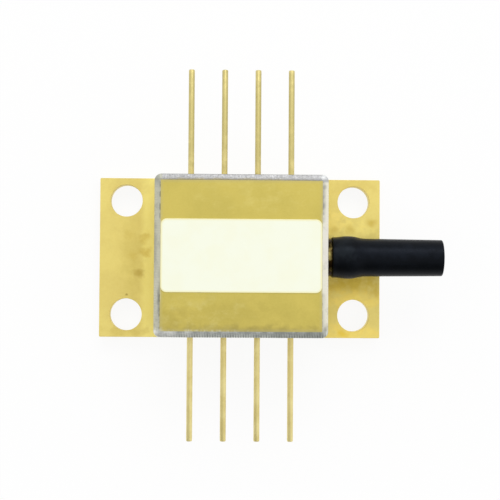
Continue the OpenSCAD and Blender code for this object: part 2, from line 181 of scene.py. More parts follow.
class Workpiece:
    """One mesh on the bench, shaped in millimetres with edit-mode operators and modifiers."""

    def __init__(self, name: str) -> None:
        """Takes over the object that an operator has just made.

        Args:
            name: The piece's name.
        """
        self.obj = bpy.context.object
        self.obj.name = name
        self.obj.data.name = name
        bpy.ops.object.transform_apply(location=True, rotation=True, scale=True)

    @classmethod
    def added(cls, name: str, primitive: Callable[..., object], **settings: object) -> "Workpiece":
        """Adds a primitive with nothing else selected.

        Args:
            name: The piece's name.
            primitive: The operator that adds it.
            settings: The operator's properties.

        Returns:
            The new piece.
        """
        bpy.ops.object.select_all(action="DESELECT")
        primitive(**settings)
        return cls(name)

    @classmethod
    def block(cls, name: str, low: Vector, high: Vector) -> "Workpiece":
        """Starts from a box between its lowest and its highest corner."""
        cube = bpy.ops.mesh.primitive_cube_add
        return cls.added(name, cube, size=1.0, location=(low + high) / 2.0, scale=high - low)

    @classmethod
    def drawn(cls, name: str, points: Sequence[Vector]) -> "Workpiece":
        """Draws a closed outline by pulling one vertex from point to point.

        Args:
            name: The piece's name.
            points: The outline's corners in order.

        Returns:
            The new piece, a loop of edges.
        """
        piece = cls.added(name, bpy.ops.mesh.primitive_plane_add, size=1.0)
        ends = (points[0], points[-1])
        with piece.editing():
            bpy.ops.mesh.select_mode(type=Part.VERT.value)
            bpy.ops.mesh.select_all(action="SELECT")
            bpy.ops.mesh.merge(type="CENTER")
            bpy.ops.transform.translate(value=points[0])
            for start, end in zip(points, points[1:]):
                bpy.ops.mesh.extrude_region_move(TRANSFORM_OT_translate={"value": end - start})
            piece.pick(Part.VERT, lambda place, _: any((place - e).length < TOUCH for e in ends))
            bpy.ops.mesh.edge_face_add()
        return piece

    @classmethod
    def turned(cls, name: str, section: Points, centre: Vector, axis: Vector, steps: int) -> "Workpiece":
        """Turns a closed half section into a round piece, as on a lathe.

        Args:
            name: The piece's name.
            section: Corners of the half section as (radius, place along the axis).
            centre: The point on the axis that places are counted from.
            axis: The axis to turn about, X or Y.
            steps: Number of sides.

        Returns:
            The new piece.
        """
        piece = cls.drawn(name, [centre + axis.yzx * radius + axis * along for radius, along in section])
        with piece.editing():
            bpy.ops.mesh.select_all(action="SELECT")
            bpy.ops.mesh.spin(steps=steps, angle=FULL_TURN, center=centre, axis=axis, use_auto_merge=True)
            piece.close_seams()
        return piece

    @classmethod
    def rim(
        cls, name: str, section: Points, half: Vector, corner_r: float, foot: float, steps: int
    ) -> "Workpiece":
        """Sweeps a closed section round the outside of a rounded rectangle.

        Args:
            name: The piece's name.
            section: Corners of the section as (outwards, up).
            half: Half length and half width of the rectangle.
            corner_r: The rectangle's corner radius.
            foot: Height of the section's zero.
            steps: Sides in each corner.

        Returns:
            The new piece.
        """
        reach_x, reach_y = half.x - corner_r, half.y - corner_r
        start = Vector((half.x, -reach_y, foot))
        piece = cls.drawn(name, [start + Vector((out, 0.0, up)) for out, up in section])
        signs = ((1, -1), (1, 1), (-1, 1), (-1, -1))
        corners = [Vector((x * reach_x, y * reach_y, foot)) for x, y in signs]
        with piece.editing():
            bpy.ops.mesh.select_all(action="SELECT")
            for last, corner in zip(corners, corners[1:] + corners[:1]):
                bpy.ops.mesh.extrude_region_move(TRANSFORM_OT_translate={"value": corner - last})
                bpy.ops.mesh.spin(steps=steps, angle=-QUARTER_TURN, center=corner, axis=Z_AXIS)
            piece.close_seams()
        return piece

    def activate(self) -> None:
        """Makes the piece the only selected and the active object."""
        bpy.ops.object.select_all(action="DESELECT")
        self.obj.select_set(True)
        bpy.context.view_layer.objects.active = self.obj

    @contextmanager
    def editing(self) -> Iterator[None]:
        """Holds the piece, alone and active, in edit mode.

        Returns:
            The context for a with statement.
        """
        self.activate()
        bpy.ops.object.mode_set(mode="EDIT")
        yield
        bpy.ops.object.mode_set(mode="OBJECT")

    def pick(self, part: Part, test: Test) -> None:
        """Selects, in edit mode, just those elements that pass a test.

        Args:
            part: The kind of element.
            test: Takes an element's middle and its normal, or an edge's direction, and says yes or no.
        """
        bpy.ops.mesh.select_mode(type=part.value)
        bpy.ops.mesh.select_all(action="DESELECT")
        mesh = bmesh.from_edit_mesh(self.obj.data)
        if part is Part.VERT:
            found = [v for v in mesh.verts if test(v.co, v.normal)]
        elif part is Part.EDGE:
            ends = [(e, e.verts[0].co, e.verts[1].co) for e in mesh.edges]
            found = [e for e, a, b in ends if test((a + b) / 2.0, (b - a).normalized())]
        else:
            found = [f for f in mesh.faces if test(f.calc_center_median(), f.normal)]
        for element in found:
            element.select_set(True)
        mesh.select_flush_mode()
        bmesh.update_edit_mesh(self.obj.data)

    def close_seams(self) -> None:
        """Merges doubled points, in edit mode, and turns the faces outwards."""
        bpy.ops.mesh.select_all(action="SELECT")
        bpy.ops.mesh.remove_doubles(threshold=TOUCH)
        bpy.ops.mesh.delete_loose(use_verts=True, use_edges=True, use_faces=False)
        bpy.ops.mesh.select_all(action="SELECT")
        bpy.ops.mesh.normals_make_consistent(inside=False)

    def bevel(self, test: Test, width: float, segments: int) -> None:
        """Rounds those edges that pass a test.

        Args:
            test: Takes an edge's middle and direction and says yes or no.
            width: The rounding's reach on either side of an edge.
            segments: Sides across it.
        """
        with self.editing():
            self.pick(Part.EDGE, test)
            bpy.ops.mesh.bevel(offset=width, segments=segments, clamp_overlap=False)

    def round_corners(self, radius: float, segments: int) -> None:
        """Rounds the upright edges."""
        self.bevel(lambda _, along: abs(along.z) > UPRIGHT, radius, segments)

    def round_top(self, height: float, width: float, segments: int) -> None:
        """Rounds the edges of the top face, which lies at a height."""
        self.bevel(lambda middle, _: middle.z > height - TOUCH, width, segments)

    def modify(self, kind: str, **settings: object) -> None:
        """Adds a modifier and applies it.

        Args:
            kind: The modifier's type.
            settings: Its properties.
        """
        self.activate()
        modifier = self.obj.modifiers.new(kind.lower(), kind)
        for name, value in settings.items():
            setattr(modifier, name, value)
        bpy.ops.object.modifier_apply(modifier=modifier.name)

    def ease_edges(self, width: float, segments: int) -> None:
        """Breaks all sharp edges."""
        self.modify("BEVEL", width=width, segments=segments, limit_method="ANGLE", angle_limit=SMOOTH_ANGLE)

    def cut(self, tool: "Workpiece") -> None:
        """Takes another piece's shape away and removes that piece."""
        self.modify("BOOLEAN", object=tool.obj, operation="DIFFERENCE", solver="EXACT")
        tool.discard()

    def drill(self, middle: Vector, reach: Vector, radius: float, sides: int) -> None:
        """Drills a round hole.

        Args:
            middle: Middle of the drill's path.
            reach: The way from there to the end of its path.
            radius: The hole's radius.
            sides: Number of sides.
        """
        shape = {"vertices": sides, "radius": radius, "depth": 2.0 * reach.length}
        turn = reach.to_track_quat("Z", "Y").to_euler()
        cylinder = bpy.ops.mesh.primitive_cylinder_add
        self.cut(Workpiece.added("drill", cylinder, location=middle, rotation=turn, **shape))

    def join(self, other: "Workpiece") -> None:
        """Takes another piece's mesh into this one.

        Args:
            other: The piece that is joined.
        """
        self.activate()
        other.obj.select_set(True)
        bpy.ops.object.join()

    def copy(self, name: str, move: Vector, turn: float) -> "Workpiece":
        """Copies the piece to another place.

        Args:
            name: The copy's name.
            move: Where it goes.
            turn: Its turn about the upright axis through the origin, before the move.

        Returns:
            The copy, with a mesh of its own.
        """
        self.activate()
        bpy.ops.object.duplicate(linked=False)
        bpy.context.object.rotation_euler = (0.0, 0.0, turn)
        bpy.context.object.location = move
        return Workpiece(name)

    def discard(self) -> None:
        """Removes the piece."""
        bpy.data.objects.remove(self.obj)

    def finish(self, material: bpy.types.Material, slot: Slot, node: str) -> None:
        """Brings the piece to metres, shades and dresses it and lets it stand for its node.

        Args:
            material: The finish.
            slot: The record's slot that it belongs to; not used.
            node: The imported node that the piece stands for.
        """
        self.activate()
        self.obj.scale = (MM, MM, MM)
        bpy.ops.object.transform_apply(location=False, rotation=False, scale=True)
        bpy.ops.object.shade_smooth_by_angle(angle=SMOOTH_ANGLE)
        self.modify("WEIGHTED_NORMAL", mode="FACE_AREA", weight=100, keep_sharp=True)
        self.obj.data.materials.clear()
        self.obj.data.materials.append(material)
        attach(self.obj, BODY)
        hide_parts(node)
        log.info("%s stands for %s with %d faces", self.obj.name, node, len(self.obj.data.polygons))


class Graph:
    """Shader nodes of one tree, added and wired by short calls."""

    def __init__(self, tree: bpy.types.NodeTree) -> None:
        """Starts on an emptied tree."""
        self.tree = tree
        tree.nodes.clear()

    def add(self, kind: str, sockets: Sockets, **settings: object) -> Outlets:
        """Adds a node.

        Args:
            kind: The node's type without its ShaderNode prefix.
            sockets: Values or wires for its inputs, by name or index.
            settings: Its properties.

        Returns:
            The node's outputs, by name or index.
        """
        node = self.tree.nodes.new("ShaderNode" + kind)
        for name, value in settings.items():
            setattr(node, name, value)
        for key, value in sockets.items():
            if isinstance(value, Wire):
                self.link(value, node.inputs[key])
            else:
                node.inputs[key].default_value = value
        return node.outputs

    def link(self, source: Wire, target: Wire) -> None:
        """Wires one socket to another."""
        self.tree.links.new(source, target)

    def math(self, operation: str, first: Value, second: Value = 0.0) -> Wire:
        """Adds one calculation, by Blender's name for it."""
        return self.add("Math", {0: first, 1: second}, operation=operation)[0]

    def times(self, first: Value, second: Value) -> Wire:
        """Multiplies two values."""
        return self.math("MULTIPLY", first, second)

    def plus(self, first: Value, second: Value) -> Wire:
        """Adds two values."""
        return self.math("ADD", first, second)

    def most(self, first: Value, second: Value) -> Wire:
        """Takes the larger of two values."""
        return self.math("MAXIMUM", first, second)

    def vector(self, operation: str, first: Value, second: Value = (0.0, 0.0, 0.0)) -> Outlets:
        """Adds one vector calculation, which gives a vector and a value."""
        return self.add("VectorMath", {0: first, 1: second}, operation=operation)

    def mix(self, share: Value, first: Wire | Colour, second: Wire | Colour) -> Wire:
        """Mixes two colours, which are the node's inputs 6 and 7, by the share of the second one."""
        pair = [colour if isinstance(colour, Wire) else linear(colour) for colour in (first, second)]
        return self.add("Mix", {0: share, 6: pair[0], 7: pair[1]}, data_type="RGBA")[2]

    def remap(self, value: Wire, low: Value, high: Value, to_low: Value = 0.0, to_high: Value = 1.0) -> Wire:
        """Maps a range smoothly to another and holds it at both ends."""
        sockets = {0: value, 1: low, 2: high, 3: to_low, 4: to_high}
        return self.add("MapRange", sockets, interpolation_type="SMOOTHSTEP")[0]

    def noise(self, place: Wire, scale: Value, detail: float = 2.0, roughness: float = 0.5) -> Wire:
        """Adds a noise, whose values run from about 0.25 to 0.75."""
        sockets = {"Vector": place, "Scale": scale, "Detail": detail, "Roughness": roughness}
        return self.add("TexNoise", sockets)[0]


class EffectKit:
    """Surface effects that several finishes share, each a node group that is built once."""

    CLOUD_RANGE = (0.35, 0.68)
    GRAIN_RANGE = (0.25, 0.75)
    LINE_RANGE = (0.56, 0.72)
    BREAK_RANGE = (0.4, 0.6)
    BREAK_SCALE = 0.7
    RAGGED_RANGE = (0.3, 0.7)
    RAGGED_REACH = 0.3
    RAGGED_SCALE = 1.6
    SPOT_RANGE = (0.1, 1.3)

    def __init__(self) -> None:
        """Builds all groups."""
        self.mottle = self.build_mottle()
        self.hairlines = self.build_hairlines()
        self.border = self.build_border()
        self.spot = self.build_spot()

    @staticmethod
    def open_group(name: str, inputs: Sockets, outputs: Sequence[str]) -> tuple[Graph, Outlets, Inlets]:
        """Starts a group, whose first input is the place where it is read.

        Args:
            name: The group's name.
            inputs: Its other inputs with their defaults. A tuple makes a vector.
            outputs: Names of its value outputs.

        Returns:
            The group's graph, the sockets of its inputs and those that take its results.
        """
        tree = bpy.data.node_groups.new(name, "ShaderNodeTree")
        for socket, default in {"Place": (0.0, 0.0, 0.0), **inputs}.items():
            kind = "NodeSocketVector" if isinstance(default, tuple) else "NodeSocketFloat"
            tree.interface.new_socket(socket, in_out="INPUT", socket_type=kind).default_value = default
        for socket in outputs:
            tree.interface.new_socket(socket, in_out="OUTPUT", socket_type="NodeSocketFloat")
        graph = Graph(tree)
        return graph, tree.nodes.new("NodeGroupInput").outputs, tree.nodes.new("NodeGroupOutput").inputs

    def build_mottle(self) -> bpy.types.NodeTree:
        """Builds soft clouds and a fine grain.

        Returns:
            The group, with outputs Cloud and Grain from 0 to 1.
        """
        inputs = {"Cloud Scale": 0.5, "Grain Scale": 6.0}
        graph, given, results = self.open_group("surface_mottle", inputs, ("Cloud", "Grain"))
        cloud = graph.noise(given["Place"], given["Cloud Scale"], detail=3.0, roughness=0.55)
        grain = graph.noise(given["Place"], given["Grain Scale"], detail=2.0, roughness=0.6)
        graph.link(graph.remap(cloud, *self.CLOUD_RANGE), results["Cloud"])
        graph.link(graph.remap(grain, *self.GRAIN_RANGE), results["Grain"])
        return graph.tree

    def build_hairlines(self) -> bpy.types.NodeTree:
        """Builds fine broken lines along X, as rolling, drawing and wiping leave them.

        Returns:
            The group, with output Lines from 0 to 1.
        """
        inputs = {"Line Scale": 9.0, "Line Length": 14.0}
        graph, given, results = self.open_group("hairlines", inputs, ("Lines",))
        x, y, z = graph.add("SeparateXYZ", {0: given["Place"]})
        along = graph.math("DIVIDE", x, given["Line Length"])
        place = graph.add("CombineXYZ", {0: along, 1: y, 2: z})[0]
        lines = graph.noise(place, given["Line Scale"], detail=2.0, roughness=0.7)
        breaks = graph.noise(given["Place"], self.BREAK_SCALE, detail=1.0)
        strong = graph.remap(lines, *self.LINE_RANGE)
        graph.link(graph.times(strong, graph.remap(breaks, *self.BREAK_RANGE)), results["Lines"])
        return graph.tree

    def build_border(self) -> bpy.types.NodeTree:
        """Builds a band along the edge of an upright rounded rectangle.

        Returns:
            The group, with output Band: 1 on the edge and outside, 0 from Width inwards.
        """
        inputs = {"Half Size": (1.0, 1.0, 0.0), "Corner": 0.1, "Width": 0.1}
        graph, given, results = self.open_group("edge_band", inputs, ("Band",))
        folded = graph.vector("ABSOLUTE", given["Place"])[0]
        beyond = graph.vector("SUBTRACT", folded, given["Half Size"])[0]
        past = [graph.plus(axis, given["Corner"]) for axis in graph.add("SeparateXYZ", {0: beyond})[:2]]
        squares = [graph.times(out, out) for out in (graph.most(axis, 0.0) for axis in past)]
        inside = graph.math("MINIMUM", graph.most(*past), 0.0)
        reach = graph.plus(graph.math("SQRT", graph.plus(*squares)), inside)
        distance = graph.math("SUBTRACT", given["Corner"], reach)
        graph.link(graph.remap(distance, 0.0, given["Width"], 1.0, 0.0), results["Band"])
        return graph.tree

    def build_spot(self) -> bpy.types.NodeTree:
        """Builds one soft spot with a ragged edge.

        Returns:
            The group, with output Mask: 1 in the spot's middle, 0 outside.
        """
        inputs = {"Middle": (0.0, 0.0, 0.0), "Reach": (1.0, 1.0, 1.0)}
        graph, given, results = self.open_group("soft_spot", inputs, ("Mask",))
        away = graph.vector("SUBTRACT", given["Place"], given["Middle"])[0]
        distance = graph.vector("LENGTH", graph.vector("DIVIDE", away, given["Reach"])[0])[1]
        rough = graph.noise(given["Place"], self.RAGGED_SCALE)
        rough = graph.remap(rough, *self.RAGGED_RANGE, -self.RAGGED_REACH, self.RAGGED_REACH)
        graph.link(graph.remap(graph.plus(distance, rough), *self.SPOT_RANGE, 1.0, 0.0), results["Mask"])
        return graph.tree


class Surface(Graph):
    """A material in the making, with the piece's coordinates, clouds and grain at hand."""

    def __init__(self, finish: "Finish", effects: EffectKit) -> None:
        """Starts a material.

        Args:
            finish: The finish that it is made for.
            effects: The shared effects.
        """
        self.material = bpy.data.materials.new(finish.name)
        self.material.use_nodes = True
        super().__init__(self.material.node_tree)
        self.finish = finish
        self.effects = effects
        self.place = self.vector("MULTIPLY", self.add("TexCoord", {})["Object"], (1.0 / MM,) * 3)[0]
        scales = {"Cloud Scale": finish.cloud_scale, "Grain Scale": finish.grain_scale}
        mottle = self.effect(effects.mottle, scales)
        self.cloud, self.grain = mottle["Cloud"], mottle["Grain"]

    @cached_property
    def axes(self) -> Outlets:
        """Gives the piece's own coordinates, in millimetres, one by one."""
        return self.add("SeparateXYZ", {0: self.place})

    @cached_property
    def lines(self) -> Wire:
        """Gives fine broken lines along X."""
        return self.effect(self.effects.hairlines, {"Line Scale": self.finish.line_scale})["Lines"]

    def effect(self, group: bpy.types.NodeTree, sockets: Sockets) -> Outlets:
        """Places a shared effect on the piece."""
        return self.add("Group", {"Place": self.place, **sockets}, node_tree=group)

    def border(self, half_size: Triple, corner: float, width: float) -> Wire:
        """Gives a band along a rounded rectangle's edge, outwards if its width is negative."""
        sockets = {"Half Size": half_size, "Corner": corner, "Width": width}
        return self.effect(self.effects.border, sockets)["Band"]


@dataclass(frozen=True)
class StainAndLightPatch:
    """A soft, ragged mark on a surface, in millimetres: a real stain, or a patch of painted light or painted
    shade.

    Attributes:
        x: Its middle along the fibre.
        y: Its middle across the fibre.
        reach_x: Half its length.
        reach_y: Half its width.
        share: How strong it is, up to 1.
        colour: Its colour, if it isn't the finish's usual one.
    """

    x: float
    y: float
    reach_x: float
    reach_y: float
    share: float = 0.6
    colour: Colour | None = None

    def mask(self, surface: Surface) -> Wire:
        """Gives the mark's strength over the surface."""
        spot = {"Middle": (self.x, self.y, 0.0), "Reach": (self.reach_x, self.reach_y, EVERYWHERE)}
        return surface.times(surface.effect(surface.effects.spot, spot)["Mask"], self.share)


@dataclass(frozen=True)
class Wear(StainAndLightPatch):
    """A patch that is rubbed pale in blots or streaks.

    Attributes:
        fineness: Blots in a millimetre along X, Y and Z.
    """

    BLOTS = (1.0, 3.0, 0.6)  # scale, detail and roughness of the blots
    BLOT_RANGE = (0.42, 0.7)

    fineness: Triple = (1.0, 1.0, 1.0)

    def mask(self, surface: Surface) -> Wire:
        """Gives the patch's strength over the surface."""
        blots = surface.noise(surface.vector("MULTIPLY", surface.place, self.fineness)[0], *self.BLOTS)
        return surface.times(surface.remap(blots, *self.BLOT_RANGE), super().mask(surface))


@dataclass(frozen=True)
class Band:
    """A brighter strip across a surface, in millimetres.

    Attributes:
        span: Where it starts and where it ends along the fibre.
        soft: Half the width of its soft edges.
        colour: Its colour.
    """

    span: tuple[float, float]
    soft: float
    colour: Colour

    def mask(self, surface: Surface) -> Wire:
        """Gives the strip's strength over the surface."""
        opens, ends = (surface.remap(surface.axes["X"], x - self.soft, x + self.soft) for x in self.span)
        return surface.math("SUBTRACT", opens, ends)


@dataclass(frozen=True)
class Rim:
    """A soft band along the edge of a rectangle, in millimetres.

    Attributes:
        half_size: Half length and half width of the rectangle.
        corner: Its corner radius.
        width: Width of the band.
        share: How strong it is at the edge, up to 1.
        colour: Its colour.
    """

    half_size: Triple
    corner: float
    width: float
    share: float
    colour: Colour

    def mask(self, surface: Surface) -> Wire:
        """Gives the band's strength over the surface."""
        return surface.times(surface.border(self.half_size, self.corner, self.width), self.share)


Mark = StainAndLightPatch | Band | Rim


@dataclass(frozen=True)
class Finish:
    """A finish of two mingled colours with marks, a fine grain and, if they have a depth, lines along X.

    Attributes:
        name: The material's name.
        colour: Its main colour.
        second: The colour of its clouds.
        metallic: 1 for a metal, 0 otherwise.
        roughness: Its roughness.
        cloud_scale: Clouds in a millimetre.
        grain_scale: Grains in a millimetre.
        grain_depth: Depth of the grain in millimetres.
        grain_spread: How far the grain varies the roughness.
        cloud_share: Share of the second colour in the clouds.
        line_scale: Lines in a millimetre.
        line_depth: Height of the lines, in depths of the grain.
        line_gloss: How much smoother the lines are.
        specular: Level of its mirror reflection.
        tint: Tint of that reflection.
        stain_and_shade: The colour of marks that have none of their own, both real stains and painted shade.
        marks: The marks on it, the lowest one first.
    """

    name: str
    colour: Colour
    second: Colour
    metallic: float = 0.0
    roughness: float = 0.5
    cloud_scale: float = 1.5
    grain_scale: float = 14.0
    grain_depth: float = 0.001
    grain_spread: float = 0.1
    cloud_share: float = 0.5
    line_scale: float = 9.0
    line_depth: float = 0.0
    line_gloss: float = 0.0
    specular: float = 0.5
    tint: Colour = (255, 255, 255)
    stain_and_shade: Colour = (0, 0, 0)
    marks: tuple[Mark, ...] = ()

    def share(self, surface: Surface) -> Wire:
        """Gives the share of the second colour over the surface."""
        return surface.times(surface.cloud, self.cloud_share)

    def shade(self, surface: Surface, colour: Wire) -> Wire:
        """Gives the colour under the marks, which a finish may shade further."""
        return colour

    def material(self, effects: EffectKit) -> bpy.types.Material:
        """Builds the finish.

        Args:
            effects: The shared effects.

        Returns:
            The material.
        """
        surface = Surface(self, effects)
        colour = self.shade(surface, surface.mix(self.share(surface), self.colour, self.second))
        for mark in self.marks:
            colour = surface.mix(mark.mask(surface), colour, mark.colour or self.stain_and_shade)
        height = surface.grain
        smoothest = self.roughness - self.grain_spread / 2.0
        rough = surface.plus(surface.times(height, self.grain_spread), smoothest)
        if self.line_depth:
            rough = surface.math("SUBTRACT", rough, surface.times(surface.lines, self.line_gloss))
            height = surface.plus(height, surface.times(surface.lines, self.line_depth))
        bump = surface.add("Bump", {"Height": height, "Strength": 1.0, "Distance": self.grain_depth * MM})
        sockets = {
            "Base Color": colour,
            "Metallic": self.metallic,
            "Roughness": rough,
            "Specular IOR Level": self.specular,
            "Specular Tint": linear(self.tint),
            "Normal": bump[0],
        }
        surface.add("OutputMaterial", {"Surface": surface.add("BsdfPrincipled", sockets)[0]})
        return surface.material


@dataclass(frozen=True)
class GoldPlating(Finish):
    """Matt gold plating with soft clouds, fine grain and wiping hairlines."""

    metallic: float = 1.0
    cloud_scale: float = 0.45
    grain_scale: float = 7.0
    grain_depth: float = 0.0012
    grain_spread: float = 0.12
    cloud_share: float = 1.0
    line_depth: float = -0.6
    line_gloss: float = 0.08


@dataclass(frozen=True)
class RolledSide:
    """How one side of the weld track looks.

    Attributes:
        side: Which side it is.
        tint: Its colour, lighter or darker than the other sides: painted light and painted shade.
        share: Share of that colour.
        valley: Share of the dark colour in the valleys between its ribs: painted shade.
        fade: Share of the dark colour that fades outwards from the lid's edge: painted shade.
        seam: Share of the dark colour in the broken line along the lid's edge.
    """

    side: Side
    tint: Colour
    share: float
    valley: float
    fade: float
    seam: float


@dataclass(frozen=True, kw_only=True)
class WeldMetal(Finish):
    """Bare rolled weld metal: blotched, each side painted a little lighter or darker, with painted shade in
    the hollows and along the lid's edge.

    Attributes:
        half_size: Half length and half width of the lid, in millimetres.
        corner: The lid's corner radius, in millimetres.
        pitch: Spacing of the ribs along X and along Y, in millimetres.
        sides: Looks of the four sides.
        cover: Half width of the label, whose ends hide the lid's edge, in millimetres.
        blotch: Share of the burnt colour in its blotches.
        fade_width: Width of the fade along the lid's edge, in millimetres.
        seam_width: Width of the broken line along the lid's edge, in millimetres.
    """

    PATCH_SCALE = 1.9
    BREAK_SCALE = 2.6
    BLOT_SCALE = 1.5
    BREAK_RANGE = (0.38, 0.56)
    BLOT_RANGE = (0.5, 0.72)
    FADE_RANGE = (0.34, 0.66, 0.6)  # start, end and least share
    HOLLOW_RANGE = (0.3, 0.65, 0.5)  # start, end and least share
    SIDE_EDGES = (-0.2, 0.05)  # where a side's look sets in, from the lid's edge
    COVER_EDGES = (-0.1, 0.2)  # where the label stops hiding, from its own edge
    COVER_SHARE = 0.15  # what it leaves to be seen

    half_size: Triple
    corner: float
    pitch: tuple[float, float]
    sides: tuple[RolledSide, ...]
    cover: float
    blotch: float = 0.3
    fade_width: float = 0.42
    seam_width: float = 0.13
    metallic: float = 1.0
    roughness: float = 0.42
    cloud_scale: float = 1.3
    grain_scale: float = 9.0
    grain_depth: float = 0.002
    grain_spread: float = 0.2
    cloud_share: float = 1.0

    def valleys(self, surface: Surface, axis: int) -> Wire:
        """Gives the valleys between the ribs that follow each other along one axis.

        Args:
            surface: The material in the making.
            axis: The axis.

        Returns:
            1 in the valleys, 0 on the ribs.
        """
        turns = surface.times(surface.axes[axis], FULL_TURN / self.pitch[axis])
        phase = math.pi * round(2.0 * self.half_size[axis] / self.pitch[axis])
        return surface.remap(surface.math("COSINE", surface.plus(turns, phase)), 0.0, 1.0)

    def shade(self, surface: Surface, colour: Wire) -> Wire:
        """Tints the four sides with painted light and shade, darkens their valleys and the lid's edge with
        painted shade, and darkens the blotches.

        Args:
            surface: The material in the making.
            colour: The clean metal.

        Returns:
            The rolled metal.
        """
        patchy = surface.noise(surface.place, self.PATCH_SCALE, detail=3.0)
        breaks = surface.noise(surface.place, self.BREAK_SCALE, detail=3.0)
        blots = surface.noise(surface.place, self.BLOT_SCALE, detail=4.0, roughness=0.65)
        blots = surface.remap(blots, *self.BLOT_RANGE, 0.0, self.blotch)
        clear = [self.cover + edge for edge in self.COVER_EDGES]
        clear = surface.remap(surface.math("ABSOLUTE", surface.axes["Y"]), *clear, self.COVER_SHARE)
        widths = (self.fade_width, self.seam_width)
        fade, seam = (surface.border(self.half_size, self.corner, -width) for width in widths)
        fade = surface.times(surface.times(fade, clear), surface.remap(patchy, *self.FADE_RANGE))
        seam = surface.times(surface.times(seam, clear), surface.remap(breaks, *self.BREAK_RANGE))
        uneven = surface.remap(patchy, *self.HOLLOW_RANGE)
        for rolled in self.sides:
            axis, sign = rolled.side.value
            across = surface.times(surface.axes[1 - axis], float(sign))
            here = surface.remap(across, *(self.half_size[1 - axis] + edge for edge in self.SIDE_EDGES))
            colour = surface.mix(surface.times(here, rolled.share), colour, rolled.tint)
            # Painted shade in the valleys and along the lid's edge, together with the real blotches.
            shade_and_blots = surface.times(surface.times(self.valleys(surface, axis), rolled.valley), uneven)
            for mask, strength in ((fade, rolled.fade), (seam, rolled.seam)):
                shade_and_blots = surface.most(shade_and_blots, surface.times(mask, strength))
            shade_and_blots = surface.times(here, surface.most(shade_and_blots, blots))
            colour = surface.mix(shade_and_blots, colour, self.stain_and_shade)
        return colour


@dataclass(frozen=True, kw_only=True)
class LabelFilm(Finish):
    """Bare label film: pale, a little uneven, with a cream edge where the glue shows.

    Attributes:
        half_size: Half its length and half its width, in millimetres.
        corner: Its corner radius, in millimetres.
        edge_width: Width of its edge, in millimetres.
    """

    half_size: Triple
    corner: float
    edge_width: float = 0.2
    roughness: float = 0.47
    cloud_scale: float = 0.6
    grain_scale: float = 11.0
    grain_depth: float = 0.0006
    cloud_share: float = 0.12
    specular: float = 0.3

    def share(self, surface: Surface) -> Wire:
        """Gives the share of the edge's colour over the surface."""
        edge = surface.border(self.half_size, self.corner, self.edge_width)
        return surface.most(edge, super().share(surface))


@dataclass(frozen=True)
class BootRubber(Finish):
    """Black moulded rubber with a soft bloom, fine grain and drawn lines along the boot."""

    roughness: float = 0.36
    cloud_scale: float = 0.8
    grain_scale: float = 10.0
    grain_depth: float = 0.002
    grain_spread: float = 0.14
    line_scale: float = 5.0
    line_depth: float = 0.5
    specular: float = 0.09

    def share(self, surface: Surface) -> Wire:
        """Gives the share of the bloom over the surface."""
        return surface.most(super().share(surface), surface.lines)


@dataclass(frozen=True)
class SpeckledBody(Finish):
    """A plain solid material with clouds and fine specks."""

    SPECK_RANGE = (0.6, 0.95)
    SPECK_SHARE = 0.6

    def share(self, surface: Surface) -> Wire:
        """Gives the share of clouds and specks over the surface."""
        specks = surface.times(surface.remap(surface.grain, *self.SPECK_RANGE), self.SPECK_SHARE)
        return surface.most(specks, super().share(surface))


@dataclass
class SubAssembly:
    """Pieces of the module that are built and dressed together.

    Attributes:
        effects: The shared effects.
    """

    effects: EffectKit

    def make(self) -> None:
        """Builds and dresses the pieces."""
        raise NotImplementedError

    def dress(self, piece: Workpiece, finish: Finish, slot: Slot, node: str) -> None:
        """Gives a piece its finish and lets it stand for its node."""
        piece.finish(finish.material(self.effects), slot, node)


